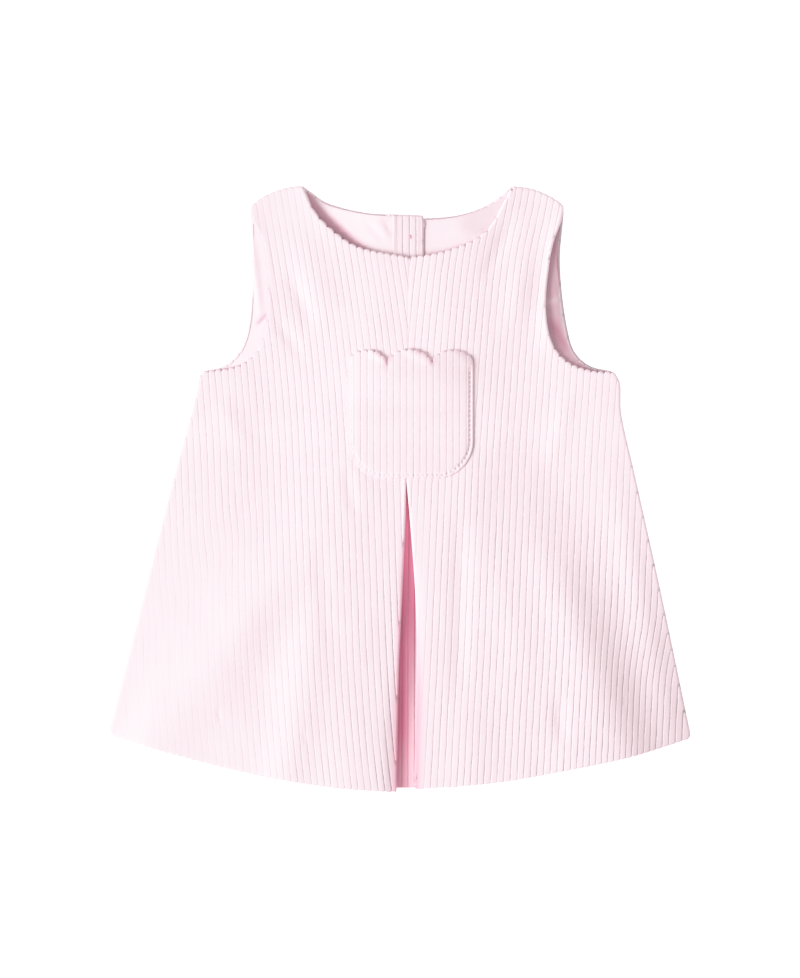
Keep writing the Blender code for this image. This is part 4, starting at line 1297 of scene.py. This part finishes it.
def lining_glow(x, y):
    """Painted shadow: deeper pink under the neck's left edge and in the right armhole, under the cloth over
    it.
    """
    neck, arm = NECK_PAINTED_SHADOW, ARM_PAINTED_SHADOW
    edge_y = np.interp(x, *smooth_line(FRONT_NECK[LEFT]).T)
    under = edge_y + neck["reach"] * between(-x, neck["left"]) - y
    shade_share = neck["deep"] * ease(under / neck["soft"]) * (np.abs(x - neck["middle"]) < neck["half"])
    edge_x = np.interp(y, *smooth_line(FRONT_ARM[RIGHT]).T[::-1])
    under = edge_x + arm["reach"] - x
    shade_share += arm["deep"] * ease(under / arm["soft"]) * (x > arm["past"])
    return np.clip(shade_share + creases(LINING_PAINTED_SHADE, x, y), 0.0, 1.0)


def lining_light(x, y):
    """Painted light and shade: the lining is duller at its right side, which shows in the right armhole."""
    return 1.03 + 0.02 * between(x, (10.0, 30.0)) - 0.17 * between(x, (80.0, 94.0))


def build_linings():
    """Bodice lining, with its puckers."""
    for side, word in SIDES:
        loop = lining_loop(side)
        low = lining_low(side)
        columns = np.arange(loop[:, 0].min(), loop[:, 0].max(), LINING_COLUMNS_STEP)
        make_cloth("lining_" + word, "lining", loop, Upright(0.0),
                   LINING_ROWS_STEP, lambda x, y: low(x, y) + LINING + creases(LINING_CREASES, x, y),
                   low, level_at(0.0), columns=columns, edge=LINING_EDGE, shade=lining_glow,
                   light=lining_light)


def facing_low(x, y):
    """Inner side of the placket facing, which climbs over the lining's edge at the left."""
    over = 0.4 * LINING * (1.0 - between(x, (FACING_LOW_X, FACING_LOW_X + 2.4)))
    return back_left_under(x, y) + BACK + GAP + over


def facing_high(x, y):
    """Outer side of the placket facing, thinner towards its right edge."""
    over = LINING * (1.0 - between(x, (FACING_LOW_X + 0.6, FACING_LOW_X + 3.6)))
    plain = FACING - 0.4 * between(x, (10.0, 16.0))
    return back_left_under(x, y) + BACK + GAP + plain + 0.35 * over


def build_facing(mark):
    """Corduroy strip up the centre back, inside the neck, and the thread of the top button."""
    edge = smooth_line(FACING_EDGE)
    along = np.linspace(edge[-1][0], FACING_LOW_X, 9)
    top = np.stack((along, np.interp(along, *smooth_line(BACK_NECK[LEFT]).T) - LINING_INSET / 2), axis=1)
    loop = closed_loop([[(FACING_LOW_X, FACING_FOOT)], edge[:-1], top], 1.0)
    make_cloth("placket_facing", "corduroy", loop, Upright(FACING_FIRST),
               FACING_ROWS, facing_high, facing_low,
               lambda u, y: FACING_WALE * wale_relief(u, y, 1.0 * (u > FACING_PLAIN - FACING_FIRST)),
               edge=FACING_EDGE_ROLL, groove_shade=lambda x, y: 0.8 * (x > -0.5))
    work = bmesh.new()
    for way in BUTTON_THREAD_WAYS:
        stitch(work, lambda x, y: facing_high(x, y) + FACING_WALE, BUTTON_THREAD, way,
               BUTTON_THREAD_LENGTH)
    finish_thread("button_thread", work, mark)


def dress_buttons(material):
    """Resin on the buttons under the back."""
    for number in range(1, BUTTON_COUNT + 1):
        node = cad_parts["button_" + str(number)]
        node.data.materials.clear()
        node.data.materials.append(material)


# ---------------------------------------------------------------- floor, light and camera

FRAME_PIXELS = (800, 978)
PIXEL = 0.65                # millimetres at the cloth
CAMERA_HEIGHT = 1900.0
CLOTH_LEVEL = 6.0
FLOOR_HALF = 6000.0
FLOOR_DROP = 0.2
WORLD_STRENGTH = 0.65
KEY_PLACE = (-1.9, -0.6, 0.95)
KEY_SIZE = 1.2
KEY_POWER = 59.0
# Bright tones are held back, as film does: light, and the tone shown for it
TONES = ((0.75, 0.75), (0.88, 0.87), (1.0, 0.945), (1.12, 0.985), (1.3, 1.0))


def build_floor():
    """Pale floor."""
    work = bmesh.new()
    bmesh.ops.create_grid(work, x_segments=1, y_segments=1, size=FLOOR_HALF)
    bmesh.ops.translate(work, verts=work.verts[:], vec=(0.0, 0.0, -FLOOR_DROP))
    n = Nodes("floor_white")
    n.put(n.shader, {"Base Color": (0.93, 0.93, 0.93, 1.0), "Roughness": 1.0, "Specular IOR Level": 0.0,
                     "Emission Color": (1.0, 1.0, 1.0, 1.0), "Emission Strength": 0.75})
    finish_mesh("floor", work, n.material)


def build_light():
    """Even white surroundings and one broad key light, low on the left."""
    world = bpy.data.worlds.new("studio")
    world.use_nodes = True
    surroundings = world.node_tree.nodes["Background"]
    surroundings.inputs["Color"].default_value = (1.0, 1.0, 1.0, 1.0)
    surroundings.inputs["Strength"].default_value = WORLD_STRENGTH
    bpy.context.scene.world = world
    view = bpy.context.scene.view_settings
    view.view_transform = "Standard"
    view.use_curve_mapping = True
    white = TONES[-1][0]
    view.curve_mapping.white_level = (white, white, white)
    for bright, shown in TONES[:-1]:
        view.curve_mapping.curves[3].points.new(bright / white, shown)
    view.curve_mapping.update()
    data = bpy.data.lights.new("key", "AREA")
    data.shape = "DISK"
    data.size = KEY_SIZE
    data.energy = KEY_POWER
    lamp = bpy.data.objects.new("key", data)
    lamp.location = KEY_PLACE
    lamp.rotation_euler = (-Vector(KEY_PLACE)).to_track_quat("-Z", "Y").to_euler()
    bpy.context.scene.collection.objects.link(lamp)


def build_camera():
    """Camera straight over the dress."""
    data = bpy.data.cameras.new("camera")
    data.sensor_fit = "AUTO"
    data.sensor_width = 36.0
    data.lens = data.sensor_width * (CAMERA_HEIGHT - CLOTH_LEVEL) / (FRAME_PIXELS[1] * PIXEL)
    data.clip_start = 0.1
    data.clip_end = 50.0
    camera = bpy.data.objects.new("camera", data)
    camera.location = (0.0, 0.0, CAMERA_HEIGHT * MM)
    bpy.context.scene.collection.objects.link(camera)
    bpy.context.scene.camera = camera


build_camera()
build_light()
build_floor()
build_backs()
build_linings()
build_facing(thread("thread_deep", THREAD_DEEP))
build_underlay()
build_fronts()
build_pocket(thread("thread_pale", THREAD))
dress_buttons(resin("button_resin"))
